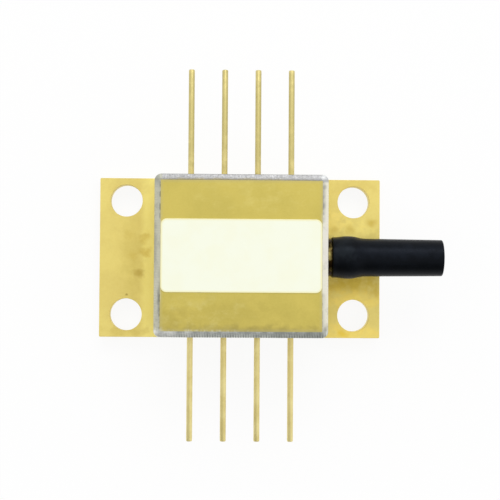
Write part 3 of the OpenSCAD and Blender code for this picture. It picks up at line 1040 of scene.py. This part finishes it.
@dataclass
class BasePlate(SubAssembly):
    """The plated base with its two drilled flange ends."""

    corner_r: float = 0.1
    corner_sides: int = 6
    hole_sides: int = 96
    edge_break: float = 0.05
    edge_sides: int = 3
    plating: Finish = GoldPlating(
        "base_plating",
        colour=(235, 217, 129),
        second=(229, 210, 124),
        stain_and_shade=(212, 184, 80),
        marks=(
            # Painted light: a brighter strip on the flange beside the left wall.
            Band((-7.62, -6.0), 0.3, (246, 231, 140)),
            StainAndLightPatch(-8.4, 0.3, 1.0, 4.0, 0.45, (218, 199, 110)),
            StainAndLightPatch(-7.4, 1.55, 0.5, 0.45, 0.5),
            StainAndLightPatch(-8.6, 1.75, 0.5, 0.5, 0.25),
            StainAndLightPatch(-7.35, 0.4, 0.55, 0.4, 0.55),
            StainAndLightPatch(-8.3, 0.2, 0.5, 0.4, 0.3),
            StainAndLightPatch(-7.95, -1.3, 0.5, 0.45, 0.55, (184, 156, 68)),
            StainAndLightPatch(-8.83, -2.89, 0.14, 0.12, 0.8, (150, 128, 54)),
            # Painted shade: the flange's front left end darker.
            StainAndLightPatch(-8.9, -5.7, 2.0, 0.6, 0.7, (218, 198, 110)),
            # Painted shade: the back edge of both flange ends darker.
            StainAndLightPatch(-8.9, 5.7, 2.2, 0.9, 0.6, (224, 205, 120)),
            StainAndLightPatch(8.9, 5.7, 2.2, 0.9, 0.7, (224, 203, 116)),
            # Painted light: the flange above the boot and beside the wall brighter, against the shade of
            # boot and wall.
            StainAndLightPatch(8.8, 2.2, 2.4, 0.9, 0.95, (253, 235, 140)),
            StainAndLightPatch(7.3, 2.7, 0.9, 1.2, 0.9, (252, 232, 138)),
            # Painted shadow: the flange under the boot darker and warmer.
            StainAndLightPatch(8.8, -1.9, 2.6, 1.1, 0.95, (216, 189, 82)),
            # Painted light: the flange below the boot's shadow and at its front right brighter.
            StainAndLightPatch(8.9, -3.2, 2.6, 0.8, 0.8, (250, 225, 120)),
            StainAndLightPatch(8.9, -5.8, 2.6, 0.9, 0.8, (248, 223, 120)),
            StainAndLightPatch(10.3, 2.85, 0.45, 0.4, 0.7),
            StainAndLightPatch(8.65, 2.3, 0.5, 0.4, 0.5),
            StainAndLightPatch(7.35, 2.3, 0.4, 0.4, 0.4),
            StainAndLightPatch(10.6, -2.6, 0.45, 0.5),
            StainAndLightPatch(8.1, -5.9, 0.5, 0.35, 0.7, (236, 204, 74)),
        ),
    )

    def build(self) -> Workpiece:
        """Models the plate, its corners, its four holes and its eased edges.

        Returns:
            The plate.
        """
        box = Box.of("base_plate")
        plate = Workpiece.block("flange_base", box.low, box.high)
        plate.round_corners(self.corner_r, self.corner_sides)
        sizes = mount_sizes("flange_holes")
        for x, y in product((-1, 1), repeat=2):
            middle = Vector((x * sizes["spacing_x_mm"], y * sizes["spacing_y_mm"], box.high.z)) / 2.0
            plate.drill(middle, Z_AXIS * OVERRUN * box.high.z, sizes["hole_r_mm"], self.hole_sides)
        plate.ease_edges(self.edge_break, self.edge_sides)
        return plate

    def make(self) -> None:
        """Builds and plates the base."""
        self.dress(self.build(), self.plating, Slot.BASE, "base_plate")


@dataclass
class WallFrame(SubAssembly):
    """The four walls, brazed on the base, with eight lead holes and the snout hole."""

    corner_r: float = 0.4
    inner_corner_r: float = 0.5
    corner_sides: int = 8
    end_wall: float = 1.0
    side_wall: float = 1.2
    foot_fillet: float = 0.2
    fillet_sides: int = 6
    hole_sides: int = 64
    edge_break: float = 0.03
    edge_sides: int = 2
    plating: Finish = GoldPlating("wall_plating", (222, 203, 112), (212, 192, 100), roughness=0.42)

    def build(self) -> Workpiece:
        """Models the walls, their holes and the braze round their foot.

        Returns:
            The walls.
        """
        box = Box.of("wall_frame")
        skirt = Vector((self.foot_fillet, self.foot_fillet, 0.0))
        low, high = box.low + skirt, box.high - skirt
        walls = Workpiece.block("body_walls", low, high)
        walls.round_corners(self.corner_r, self.corner_sides)
        inset = Vector((self.end_wall, self.side_wall, 0.0))
        cavity = Workpiece.block("cavity", low + inset - Z_AXIS, high - inset + Z_AXIS)
        cavity.round_corners(self.inner_corner_r, self.corner_sides)
        walls.cut(cavity)
        for number in range(1, LeadRows.PER_SIDE + 1):
            seal = Box.of(f"glass_seal_{number}")
            middle = Vector((seal.middle.x, 0.0, seal.middle.z))
            walls.drill(middle, Y_AXIS * box.high.y, seal.half.x, self.hole_sides)
        port = Vector((Box.of("snout_tube").low.x + self.end_wall / 2.0, 0.0, FibrePort.axis_height()))
        walls.drill(port, X_AXIS * OVERRUN * self.end_wall, FibrePort.SNOUT_R, self.hole_sides)
        walls.ease_edges(self.edge_break, self.edge_sides)
        fillet = [(0.0, 0.0), *quarter_arc(self.foot_fillet, self.fillet_sides)]
        sweep = ((high - low) / 2.0, self.corner_r, low.z, self.corner_sides)
        walls.join(Workpiece.rim("braze", fillet, *sweep))
        return walls

    def make(self) -> None:
        """Builds and plates the walls."""
        self.dress(self.build(), self.plating, Slot.WALLS, "wall_frame")


@dataclass
class Closure(SubAssembly):
    """The lid, the rolled weld track that seals it and the bare label on it."""

    ROW_SLACK = 0.1  # how far a point may lie from its row on a rib, in rows

    lid_corner_r: float = 0.05
    lid_corner_sides: int = 3
    lid_edge: float = 0.012
    lid_edge_sides: int = 2
    step_inset: float = 0.75
    weld_corner_sides: int = 10
    rib_pitch: float = 0.19
    rib_steps: int = 4
    rib_rise: dict[Side, float] = field(
        default_factory=lambda: {Side.LEFT: 0.008, Side.RIGHT: 0.005, Side.FRONT: 0.018, Side.BACK: 0.005}
    )
    label_corner_r: float = 0.45
    label_corner_sides: int = 12
    label_edge: float = 0.025
    label_edge_sides: int = 3
    weld_edge: Points = ((0.0, 0.0), (0.45, 0.0), (0.45, 0.07))
    weld_crown: Points = (
        (0.42, 0.115),
        (0.33, 0.155),
        (0.21, 0.195),
        (0.09, 0.232),
        (0.035, 0.242),
        (0.0, 0.244),
    )

    def build_lid(self) -> Workpiece:
        """Models the lid with its eased rim and the locating step underneath.

        Returns:
            The lid.
        """
        box = Box.of("lid")
        wall_top = Box.of("wall_frame").high.z
        lid = Workpiece.block("plated_lid", Vector((box.low.x, box.low.y, wall_top)), box.high)
        lid.round_corners(self.lid_corner_r, self.lid_corner_sides)
        step = Z_AXIS * (box.low.z - wall_top)
        with lid.editing():
            lid.pick(Part.FACE, lambda _, normal: normal.z < -UPRIGHT)
            bpy.ops.mesh.inset(thickness=self.step_inset)
            bpy.ops.mesh.extrude_region_move(TRANSFORM_OT_translate={"value": step})
        lid.round_top(box.high.z, self.lid_edge, self.lid_edge_sides)
        return lid

    def build_weld(self) -> Workpiece:
        """Models the weld track and rolls the ribs into its four sides.

        Returns:
            The track.
        """
        half = Box.of("lid").half
        wall_top = Box.of("wall_frame").high.z
        sweep = (half, self.lid_corner_r, wall_top, self.weld_corner_sides)
        track = Workpiece.rim("weld_track", [*self.weld_edge, *self.weld_crown], *sweep)
        crown = wall_top + self.weld_crown[0][1] - TOUCH
        for side in Side:
            self.roll_ribs(track, side, half[side.axis] - self.lid_corner_r, crown)
        return track

    def pitch(self, reach: float) -> float:
        """Gives the ribs' spacing that divides a side evenly, from half the side's length."""
        return 2.0 * reach / round(2.0 * reach / self.rib_pitch)

    def roll_ribs(self, track: Workpiece, side: Side, reach: float, crown: float) -> None:
        """Rolls ribs across one side of the track.

        Args:
            track: The weld track.
            side: The side.
            reach: Half the side's length.
            crown: Height above which the ribs rise.
        """
        pitch = self.pitch(reach)
        slack = self.ROW_SLACK / self.rib_steps

        def is_long(middle: Vector, along: Vector) -> bool:
            """Says whether an edge runs along this side."""
            runs_along = abs(along[side.axis]) > STRAIGHT and abs(middle[side.axis]) < reach
            return side.holds(middle) and runs_along

        def phase(place: Vector) -> float:
            """Gives how far across its rib a point of this side's crown lies, and -1 elsewhere."""
            on_crown = side.holds(place) and abs(place[side.axis]) <= reach and place.z >= crown
            return ((place[side.axis] + reach) / pitch) % 1.0 if on_crown else -1.0

        with track.editing():
            for pieces in (round(2.0 * reach / pitch), self.rib_steps):
                track.pick(Part.EDGE, is_long)
                bpy.ops.mesh.subdivide(number_cuts=pieces - 1)
            for step in range(1, self.rib_steps):
                share = step / self.rib_steps
                track.pick(Part.VERT, lambda place, _: abs(phase(place) - share) < slack)
                lift = self.rib_rise[side] * math.sin(math.pi * share)
                bpy.ops.transform.translate(value=Z_AXIS * lift)

    def build_label(self) -> Workpiece:
        """Models the bare label with round corners and a soft edge.

        Returns:
            The label.
        """
        box = Box.of("label")
        label = Workpiece.block("bare_label", box.low, box.high)
        label.round_corners(self.label_corner_r, self.label_corner_sides)
        label.round_top(box.high.z, self.label_edge, self.label_edge_sides)
        return label

    def lid_plating(self) -> GoldPlating:
        """Gives the lid's plating, worn along its front edge, darker at the front with painted shade, and
        glued at the label's ends.

        Returns:
            The finish.
        """
        return GoldPlating(
            "lid_plating",
            colour=(210, 193, 102),
            second=(202, 186, 97),
            stain_and_shade=(182, 165, 84),
            roughness=0.48,
            cloud_scale=0.3,
            marks=(
                StainAndLightPatch(-5.2, -5.2, 1.6, 1.4, 0.45),
                # Painted shade: the front of the lid darker, and a dark strip along its front edge by the
                # weld.
                StainAndLightPatch(-1.0, -4.6, 6.0, 1.6, 0.3),
                StainAndLightPatch(0.6, -5.5, 6.4, 0.42, 0.6, (158, 145, 84)),
                StainAndLightPatch(-6.0, -5.62, 0.42, 0.3, 1.0, (208, 207, 188)),
                StainAndLightPatch(-6.0, 0.0, 0.14, 2.8, 0.9, (236, 234, 212)),
                StainAndLightPatch(6.0, 0.0, 0.14, 2.8, 1.0, (240, 239, 220)),
                Rim(tuple(Box.of("lid").half), self.lid_corner_r, 0.3, 0.35, (186, 178, 138)),
                Wear(-3.0, -4.2, 3.6, 1.4, 0.5, (220, 208, 132), (1.1, 1.5, 1.0)),
                Wear(1.5, 4.5, 5.0, 1.4, 0.5, (220, 206, 124), (0.9, 1.3, 1.0)),
                Wear(-2.6, -5.6, 4.0, 0.16, 0.7, (216, 213, 182), (5.2, 0.8, 1.0)),
            ),
        )

    def weld_metal(self) -> WeldMetal:
        """Gives the weld track's metal, painted bright on the right and painted darker on the other sides.

        Returns:
            The finish.
        """
        half = Box.of("lid").half
        return WeldMetal(
            "rolled_weld",
            colour=(222, 221, 214),
            second=(198, 198, 188),
            stain_and_shade=(96, 98, 94),
            half_size=tuple(half),
            corner=self.lid_corner_r,
            pitch=tuple(self.pitch(half[axis] - self.lid_corner_r) for axis in (0, 1)),
            cover=Box.of("label").half.y,
            sides=(
                # Painted light and shade: the right and front lighter, the back and left darker; valley and
                # fade are painted shade.
                RolledSide(Side.RIGHT, (234, 231, 213), 0.9, valley=0.05, fade=0.28, seam=0.55),
                RolledSide(Side.BACK, (146, 146, 148), 0.9, valley=0.06, fade=0.2, seam=0.5),
                RolledSide(Side.LEFT, (194, 193, 171), 0.8, valley=0.14, fade=0.2, seam=0.9),
                RolledSide(Side.FRONT, (230, 234, 228), 0.85, valley=0.64, fade=0.74, seam=0.1),
            ),
            marks=(
                # Painted highlight: the front left of the track brighter.
                StainAndLightPatch(-6.0, -5.9, 2.4, 0.5, 0.75, (246, 246, 240)),
                # Painted shade: the front right of the track darker.
                StainAndLightPatch(5.0, -5.9, 4.0, 0.5, 0.4, (120, 126, 118)),
                StainAndLightPatch(6.25, -5.4, 0.25, 0.3, 0.6),
                StainAndLightPatch(6.02, 4.3, 0.22, 1.6, 0.25),
                StainAndLightPatch(6.1, 5.15, 0.2, 0.2, 0.3),
                StainAndLightPatch(6.06, 4.4, 0.14, 0.16, 0.25),
                StainAndLightPatch(6.06, 3.72, 0.16, 0.24, 0.35),
                StainAndLightPatch(6.04, 3.15, 0.12, 0.14, 0.3),
                StainAndLightPatch(6.04, 2.6, 0.16, 0.26, 0.3),
                StainAndLightPatch(6.3, 0.4, 0.5, 2.6, 0.7, (225, 222, 216)),
                StainAndLightPatch(6.25, 5.85, 0.5, 0.35, 0.7, (214, 216, 217)),
                StainAndLightPatch(-1.5, 5.62, 7.0, 0.12, 0.55, (152, 138, 84)),
                # Painted shade: the back left corner darker and greyer, and a darker line along the left
                # outer edge.
                StainAndLightPatch(-6.3, 5.55, 0.5, 0.8, 0.5, (150, 154, 150)),
                StainAndLightPatch(-6.45, 1.0, 0.2, 3.0, 0.35),
                StainAndLightPatch(-6.02, -3.2, 0.2, 1.8, 0.5),
            ),
        )

    def make(self) -> None:
        """Builds and dresses the lid, the weld track and the label."""
        film = LabelFilm(
            "bare_film",
            colour=(248, 251, 232),
            second=(246, 241, 190),
            half_size=tuple(Box.of("label").half),
            corner=self.label_corner_r,
        )
        self.dress(self.build_lid(), self.lid_plating(), Slot.LID, "lid")
        self.dress(self.build_weld(), self.weld_metal(), Slot.WELD, "seam_weld")
        self.dress(self.build_label(), film, Slot.LABEL, "label")


@dataclass
class LeadRows(SubAssembly):
    """The eight round leads and the glass beads that seal them in the walls."""

    PER_SIDE = 4
    COUNT = 8
    TIP_REACH = 1.5  # how much of a lead's end moves with its tip, in chamfers

    lead_sides: int = 32
    tip_chamfer: float = 0.08
    tip_round: float = 0.024
    flat_length: float = 0.6
    flat_depth: float = 0.1
    bead_sides: int = 48
    meniscus: float = 0.07
    meniscus_sides: int = 8
    plating: Finish = GoldPlating(
        "lead_plating",
        colour=(236, 222, 158),
        second=(224, 208, 140),
        stain_and_shade=(200, 187, 125),
        roughness=0.46,
        cloud_scale=0.8,
        grain_depth=0.0003,
        # Painted shade: the leads on the +Y side darker than those on the -Y side, whose plating is lighter.
        marks=(StainAndLightPatch(0.0, 11.0, EVERYWHERE, 7.0, 1.0),),
    )
    glass: Finish = SpeckledBody(
        "bead_glass",
        colour=(38, 46, 44),
        second=(66, 76, 72),
        roughness=0.16,
        cloud_scale=2.0,
        grain_scale=10.0,
        grain_depth=0.0015,
    )

    def build_lead(self) -> Workpiece:
        """Models one lead on the +Y side, in the middle plane, with the length of leads 5 to 8.

        Returns:
            The lead.
        """
        box = Box.of(f"lead_{self.COUNT}")
        radius, root, tip = box.half.x, box.low.y, box.high.y
        axis = Z_AXIS * box.middle.z
        section = (
            (0.0, root),
            (radius, root),
            (radius, tip - self.tip_chamfer),
            (radius - self.tip_round, tip - self.tip_round),
            (radius - self.tip_chamfer, tip),
            (0.0, tip),
        )
        lead = Workpiece.turned("lead_pattern", section, axis, Y_AXIS, self.lead_sides)
        flat_low = Vector((-2.0 * radius, root - self.flat_length, axis.z + radius - self.flat_depth))
        flat_high = Vector((2.0 * radius, root + self.flat_length, axis.z + 2.0 * radius))
        lead.cut(Workpiece.block("flat", flat_low, flat_high))
        return lead

    def trim(self, lead: Workpiece, node: str) -> None:
        """Pushes a lead's tip to where its node ends.

        Args:
            lead: The lead in its place.
            node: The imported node.
        """
        box = Box.of(node)
        side = 1.0 if box.high.y > 0.0 else -1.0
        tip = max(abs(box.low.y), abs(box.high.y))
        own_tip = max(abs(corner[1]) for corner in lead.obj.bound_box)
        start = own_tip - self.TIP_REACH * self.tip_chamfer
        with lead.editing():
            lead.pick(Part.VERT, lambda place, _: abs(place.y) > start)
            bpy.ops.transform.translate(value=Y_AXIS * side * (tip - own_tip))

    def build_bead(self) -> Workpiece:
        """Models one glass bead on the +Y side, in the middle plane, with hollow faces.

        Returns:
            The bead.
        """
        box = Box.of(f"glass_seal_{self.COUNT}")
        inner, outer = Box.of(f"lead_{self.COUNT}").half.x, box.half.x
        shares = even_shares(self.meniscus_sides)
        dips = [self.meniscus * 4.0 * s * (1.0 - s) for s in shares]
        outside = [(inner + (outer - inner) * s, box.high.y - dip) for s, dip in zip(shares, dips)]
        inside = [(radius, box.low.y + box.high.y - along) for radius, along in reversed(outside)]
        axis = Z_AXIS * box.middle.z
        return Workpiece.turned("bead_pattern", outside + inside, axis, Y_AXIS, self.bead_sides)

    def place(self, pattern: Workpiece, kind: str, node: str, slot: Slot, finish: Finish) -> None:
        """Copies a pattern to all eight places and dresses the copies.

        Args:
            pattern: The piece on the +Y side, in the middle plane.
            kind: First part of the copies' names.
            node: First part of the nodes' names.
            slot: The record's slot.
            finish: The copies' finish.
        """
        material = finish.material(self.effects)
        for number in range(1, self.COUNT + 1):
            middle = Box.of(f"{node}_{number}").middle
            turn = math.pi if middle.y < 0.0 else 0.0
            piece = pattern.copy(f"{kind}_{number}", X_AXIS * middle.x, turn)
            if slot is Slot.LEADS:
                self.trim(piece, f"{node}_{number}")
            piece.finish(material, slot, f"{node}_{number}")
        pattern.discard()

    def make(self) -> None:
        """Builds, places and dresses leads and beads."""
        self.place(self.build_lead(), "lead_pin", "lead", Slot.LEADS, self.plating)
        self.place(self.build_bead(), "glass_bead", "glass_seal", Slot.GLASS, self.glass)


@dataclass
class FibrePort(SubAssembly):
    """The fibre snout with its shoulder and barb, and the rubber boot stretched over it."""

    SNOUT_R = 1.1

    bore_r: float = 0.5
    shoulder_r: float = 1.45
    shoulder_length: float = 0.5
    shoulder_edge: float = 0.05
    barb_rise: float = 0.15
    barb_length: float = 0.8
    barb_ramp: float = 1.0 / 4.0  # share of its length where it rises
    barb_nose: float = 1.0 / 3.0  # share of its length where it falls to the tip
    barb_drop: float = 1.0 / 2.0  # how far the tip falls below the shank, in rises
    rubber: float = 0.43
    swell: float = 0.08
    neck_r: float = 1.435
    neck_run: float = 0.9
    tip_r: float = 1.37
    edge_r: float = 0.08
    edge_sides: int = 4
    swell_sides: int = 10
    snout_sides: int = 64
    boot_sides: int = 96
    plating: Finish = GoldPlating(
        "snout_plating",
        # Painted shade: the snout's gold is darker than the other plating, and its marks darken the shoulder
        # towards its flanks and along the boot's face.
        colour=(186, 171, 104),
        second=(172, 156, 90),
        stain_and_shade=(40, 28, 10),
        roughness=0.3,
        marks=(
            StainAndLightPatch(6.6, 1.2, 2.0, 0.95, 1.0),
            StainAndLightPatch(6.6, -0.6, 2.0, 0.8, 1.0),
            StainAndLightPatch(6.6, -1.25, 2.0, 0.9, 1.0),
            StainAndLightPatch(6.88, 0.0, 0.3, 5.0, 1.0),
        ),
    )
    boot_finish: Finish = BootRubber(
        "boot_rubber",
        colour=(6, 8, 10),
        second=(12, 15, 20),
        tint=(222, 232, 255),
        marks=(
            # Painted highlight: a lighter bluish band along the top of the boot and a patch at its root.
            StainAndLightPatch(11.4, 0.45, 5.0, 0.6, 0.8, (20, 24, 31)),
            StainAndLightPatch(7.7, 0.5, 1.0, 0.9, 0.9, (27, 32, 36)),
        ),
    )

    @staticmethod
    def axis_height() -> float:
        """Gives the height of the fibre's axis."""
        return Box.of("boot").middle.z

    def shank_outside(self) -> Points:
        """Gives the outside of the snout's shank and barb, from its inner end to its tip.

        Returns:
            Its corners as (radius, place along X).
        """
        box = Box.of("snout_tube")
        tip = box.high.x
        barb = tip - self.barb_length
        crest_r = self.SNOUT_R + self.barb_rise
        return [
            (self.SNOUT_R, box.low.x),
            (self.SNOUT_R, barb),
            (crest_r, barb + self.barb_length * self.barb_ramp),
            (crest_r, tip - self.barb_length * self.barb_nose),
            (self.SNOUT_R - self.barb_rise * self.barb_drop, tip),
        ]

    def shoulder_outside(self) -> Points:
        """Gives the outside of the shoulder between the wall and the boot.

        Returns:
            Its corners as (radius, place along X).
        """
        face = Box.of("boot").low.x
        wall = face - self.shoulder_length
        return [
            (self.SNOUT_R, wall),
            (self.shoulder_r, wall),
            (self.shoulder_r, face - self.shoulder_edge),
            (self.shoulder_r - self.shoulder_edge, face),
            (self.SNOUT_R, face),
        ]

    def eased(self, first: tuple[float, float], last: tuple[float, float]) -> Points:
        """Runs from one point of an outline to another in a soft curve.

        Args:
            first: Where it starts, as (radius, place along X).
            last: Where it ends.

        Returns:
            Its points, both ends among them.
        """
        (first_r, start), (last_r, end) = first, last
        steps = [(s, s * s * (3.0 - 2.0 * s)) for s in even_shares(self.swell_sides)]
        return [(first_r + (last_r - first_r) * eased, start + (end - start) * s) for s, eased in steps]

    def boot_outside(self) -> Points:
        """Gives the boot's outside from its root to its tip.

        Returns:
            Its points as (radius, place along X).
        """
        box = Box.of("boot")
        root_r = self.SNOUT_R + self.rubber
        swell_r = root_r + self.swell
        swell_from, swell_to, tip = (along for _, along in self.shank_outside()[2:])
        corner = quarter_arc(self.edge_r, self.edge_sides)
        root_edge = [(root_r - inwards, box.low.x + along) for inwards, along in corner]
        tip_edge = [(self.tip_r - inwards, box.high.x - along) for along, inwards in corner]
        swell = self.eased((root_r, box.low.x + self.edge_r + self.barb_rise), (swell_r, swell_from))
        neck = self.eased((swell_r, swell_to), (self.neck_r, tip + self.neck_run))
        return [*root_edge, *swell, *neck, *tip_edge]

    def turn(self, name: str, outline: Points, sides: int) -> Workpiece:
        """Turns a closed outline about the fibre's axis."""
        return Workpiece.turned(name, outline, Z_AXIS * self.axis_height(), X_AXIS, sides)

    def build_snout(self) -> Workpiece:
        """Models the snout with its bore, shoulder and barb.

        Returns:
            The snout.
        """
        root, *shank = self.shank_outside()
        bore = [(self.bore_r, shank[-1][1]), (self.bore_r, root[1])]
        return self.turn("fibre_snout", [root, *self.shoulder_outside(), *shank, *bore], self.snout_sides)

    def build_boot(self) -> Workpiece:
        """Models the boot with the snout's shape and the fibre bore inside.

        Returns:
            The boot.
        """
        box = Box.of("boot")
        _, *shank = self.shank_outside()
        funnel = shank[-1][1] + self.neck_run
        bore = [(self.bore_r, box.high.x), (self.bore_r, funnel)]
        inside = [*bore, *reversed(shank), (self.SNOUT_R, box.low.x)]
        return self.turn("rubber_boot", [*self.boot_outside(), *inside], self.boot_sides)

    def make(self) -> None:
        """Builds and dresses the snout and the boot."""
        self.dress(self.build_snout(), self.plating, Slot.WALLS, "snout_tube")
        self.dress(self.build_boot(), self.boot_finish, Slot.BOOT, "boot")


@dataclass
class InnerWorks(SubAssembly):
    """The sealed pieces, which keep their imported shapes."""

    def make(self) -> None:
        """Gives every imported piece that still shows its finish."""
        gold = (232, 206, 112)
        # Numbers in a row: metallic, roughness, clouds and grains in a millimetre.
        ceramic = SpeckledBody("alumina", (238, 237, 231), (214, 212, 204), roughness=0.55)
        pellets = SpeckledBody("telluride", (96, 97, 102), (58, 58, 64), 1.0, 0.38, 3.0, 12.0)
        copper = SpeckledBody("copper_tab", (206, 128, 84), (168, 92, 56), 1.0, 0.3, 2.0, 10.0)
        steel = SpeckledBody("ferrule_steel", (196, 194, 188), (160, 158, 152), 1.0, 0.26, 2.0, 16.0)
        solder = SpeckledBody("tin_solder", (184, 184, 182), (146, 146, 146), 1.0, 0.34, 3.0, 9.0)
        glass = SpeckledBody("fibre_silica", (214, 226, 230), (236, 242, 244), roughness=0.08)
        chip = SpeckledBody("chip_crystal", (52, 56, 78), (92, 98, 124), 0.0, 0.12, 1.5, 24.0)
        bead = SpeckledBody("thermistor_epoxy", (34, 33, 32), (64, 62, 58), roughness=0.46)
        bench = GoldPlating("bench_plating", gold, (220, 192, 98), roughness=0.3)
        wire = GoldPlating("bond_gold", gold, (222, 194, 98), roughness=0.22, grain_depth=0.0003)
        plan = (
            (ceramic, ("tec_hot_plate", "tec_cold_plate", "chip_submount", "pd_block")),
            (pellets, ("tec_pellets",)),
            (copper, ("tec_hot_tabs", "tec_cold_tabs", "tec_post_1", "tec_post_2")),
            (steel, ("fibre_ferrule", "ferrule_clip")),
            (solder, ("solder_seal",)),
            (glass, ("lensed_fibre",)),
            (chip, ("diode_chip", "monitor_photodiode")),
            (bead, ("thermistor",)),
            (bench, ("optical_bench",)),
            (wire, ("bond_wires",)),
        )
        for finish, nodes in plan:
            material = finish.material(self.effects)
            for node in nodes:
                for slot in frame["nodes"][node].material_slots:
                    slot.material = material
                log.info("%s keeps its packed shape, finished with %s", node, finish.name)


@dataclass
class Studio:
    """Pale floor, soft dome, one large lamp from the upper right and the camera."""

    floor_size: float = 8.0
    floor_drop: float = 0.00002
    floor_glow: float = 0.9
    paper: Sequence[float] = (0.95, 0.95, 0.95, 1.0)
    key_place: Triple = (0.06, 0.36, 0.36)
    key_size: tuple[float, float] = (0.28, 0.16)
    key_power: float = 0.46
    dome_top: float = 1.0
    dome_side: float = 1.08
    dome_horizon: float = 1.0
    dome_shade: float = 0.2
    shade_towards: Triple = (-0.25, -0.97, 0.0)
    shade_range: tuple[float, float] = (0.34, 0.7)
    top_range: tuple[float, float] = (0.6, 0.95)
    horizon_range: tuple[float, float] = (0.02, 0.18)
    camera_place_mm: Triple = (-1.88, -3.06, 107.2)
    camera_turn: Triple = (1.991, -1.451, 0.36)
    camera_lens: float = 97.58
    camera_sensor: float = 36.0

    def build_floor(self) -> None:
        """Lays the floor, which looks white to camera, mirror and glass and keeps the shadow."""
        bpy.ops.object.select_all(action="DESELECT")
        bpy.ops.mesh.primitive_plane_add(size=self.floor_size, location=(0.0, 0.0, -self.floor_drop))
        floor = bpy.context.object
        floor.name = "studio_floor"
        material = bpy.data.materials.new("studio_floor")
        material.use_nodes = True
        graph = Graph(material.node_tree)
        rays = graph.add("LightPath", {})
        seen = graph.most(rays["Is Camera Ray"], rays["Is Glossy Ray"])
        seen = graph.most(seen, rays["Is Transmission Ray"])
        paper = graph.add("BsdfDiffuse", {"Color": self.paper})[0]
        white = graph.add("Emission", {"Color": (1.0, 1.0, 1.0, 1.0), "Strength": 1.0})[0]
        surface = graph.add("MixShader", {0: graph.times(seen, self.floor_glow), 1: paper, 2: white})[0]
        graph.add("OutputMaterial", {"Surface": surface})
        floor.data.materials.append(material)

    def build_dome(self) -> None:
        """Makes the world a pale dome, white at the horizon and shaded on one side."""
        world = bpy.data.worlds.new("studio_dome")
        world.use_nodes = True
        bpy.context.scene.world = world
        graph = Graph(world.node_tree)
        towards = graph.add("TexCoord", {})["Generated"]
        height = graph.add("SeparateXYZ", {0: towards})["Z"]
        side = graph.vector("DOT_PRODUCT", towards, self.shade_towards)["Value"]
        shade = graph.remap(side, *self.shade_range, 1.0, self.dome_shade)
        upper = graph.remap(height, *self.top_range, self.dome_side, self.dome_top)
        low = graph.remap(height, *self.horizon_range, 1.0, 0.0)
        level = graph.times(shade, upper)
        level = graph.plus(level, graph.times(low, graph.math("SUBTRACT", self.dome_horizon, level)))
        light = graph.add("Background", {"Color": level, "Strength": 1.0})[0]
        graph.add("OutputWorld", {"Surface": light})

    def build_key(self) -> None:
        """Hangs the large soft lamp."""
        lamp = bpy.data.lights.new("key_softbox", "AREA")
        lamp.shape = "RECTANGLE"
        lamp.size, lamp.size_y = self.key_size
        lamp.energy = self.key_power
        holder = bpy.data.objects.new("key_softbox", lamp)
        holder.location = self.key_place
        holder.rotation_euler = (-Vector(self.key_place)).to_track_quat("-Z", "Y").to_euler()
        bpy.context.scene.collection.objects.link(holder)

    def build_camera(self) -> None:
        """Sets the camera almost straight above the lid."""
        camera = bpy.data.cameras.new("photo_camera")
        camera.lens = self.camera_lens
        camera.sensor_width = self.camera_sensor
        camera.clip_start = MM
        camera.clip_end = 2.0 * self.floor_size
        holder = bpy.data.objects.new("photo_camera", camera)
        holder.location = Vector(self.camera_place_mm) * MM
        holder.rotation_euler = [math.radians(angle) for angle in self.camera_turn]
        bpy.context.scene.collection.objects.link(holder)
        bpy.context.scene.camera = holder
        bpy.context.scene.view_settings.view_transform = "Standard"

    def build(self) -> None:
        """Sets up the whole studio."""
        self.build_floor()
        self.build_dome()
        self.build_key()
        self.build_camera()


def main() -> None:
    """Builds and dresses the module piece by piece, then sets up the studio."""
    logging.basicConfig(level=logging.INFO, format="%(name)s: %(message)s")
    effects = EffectKit()
    for assembly in (BasePlate, WallFrame, Closure, LeadRows, FibrePort, InnerWorks):
        assembly(effects).make()
    Studio().build()


if __name__ == "__main__":
    main()
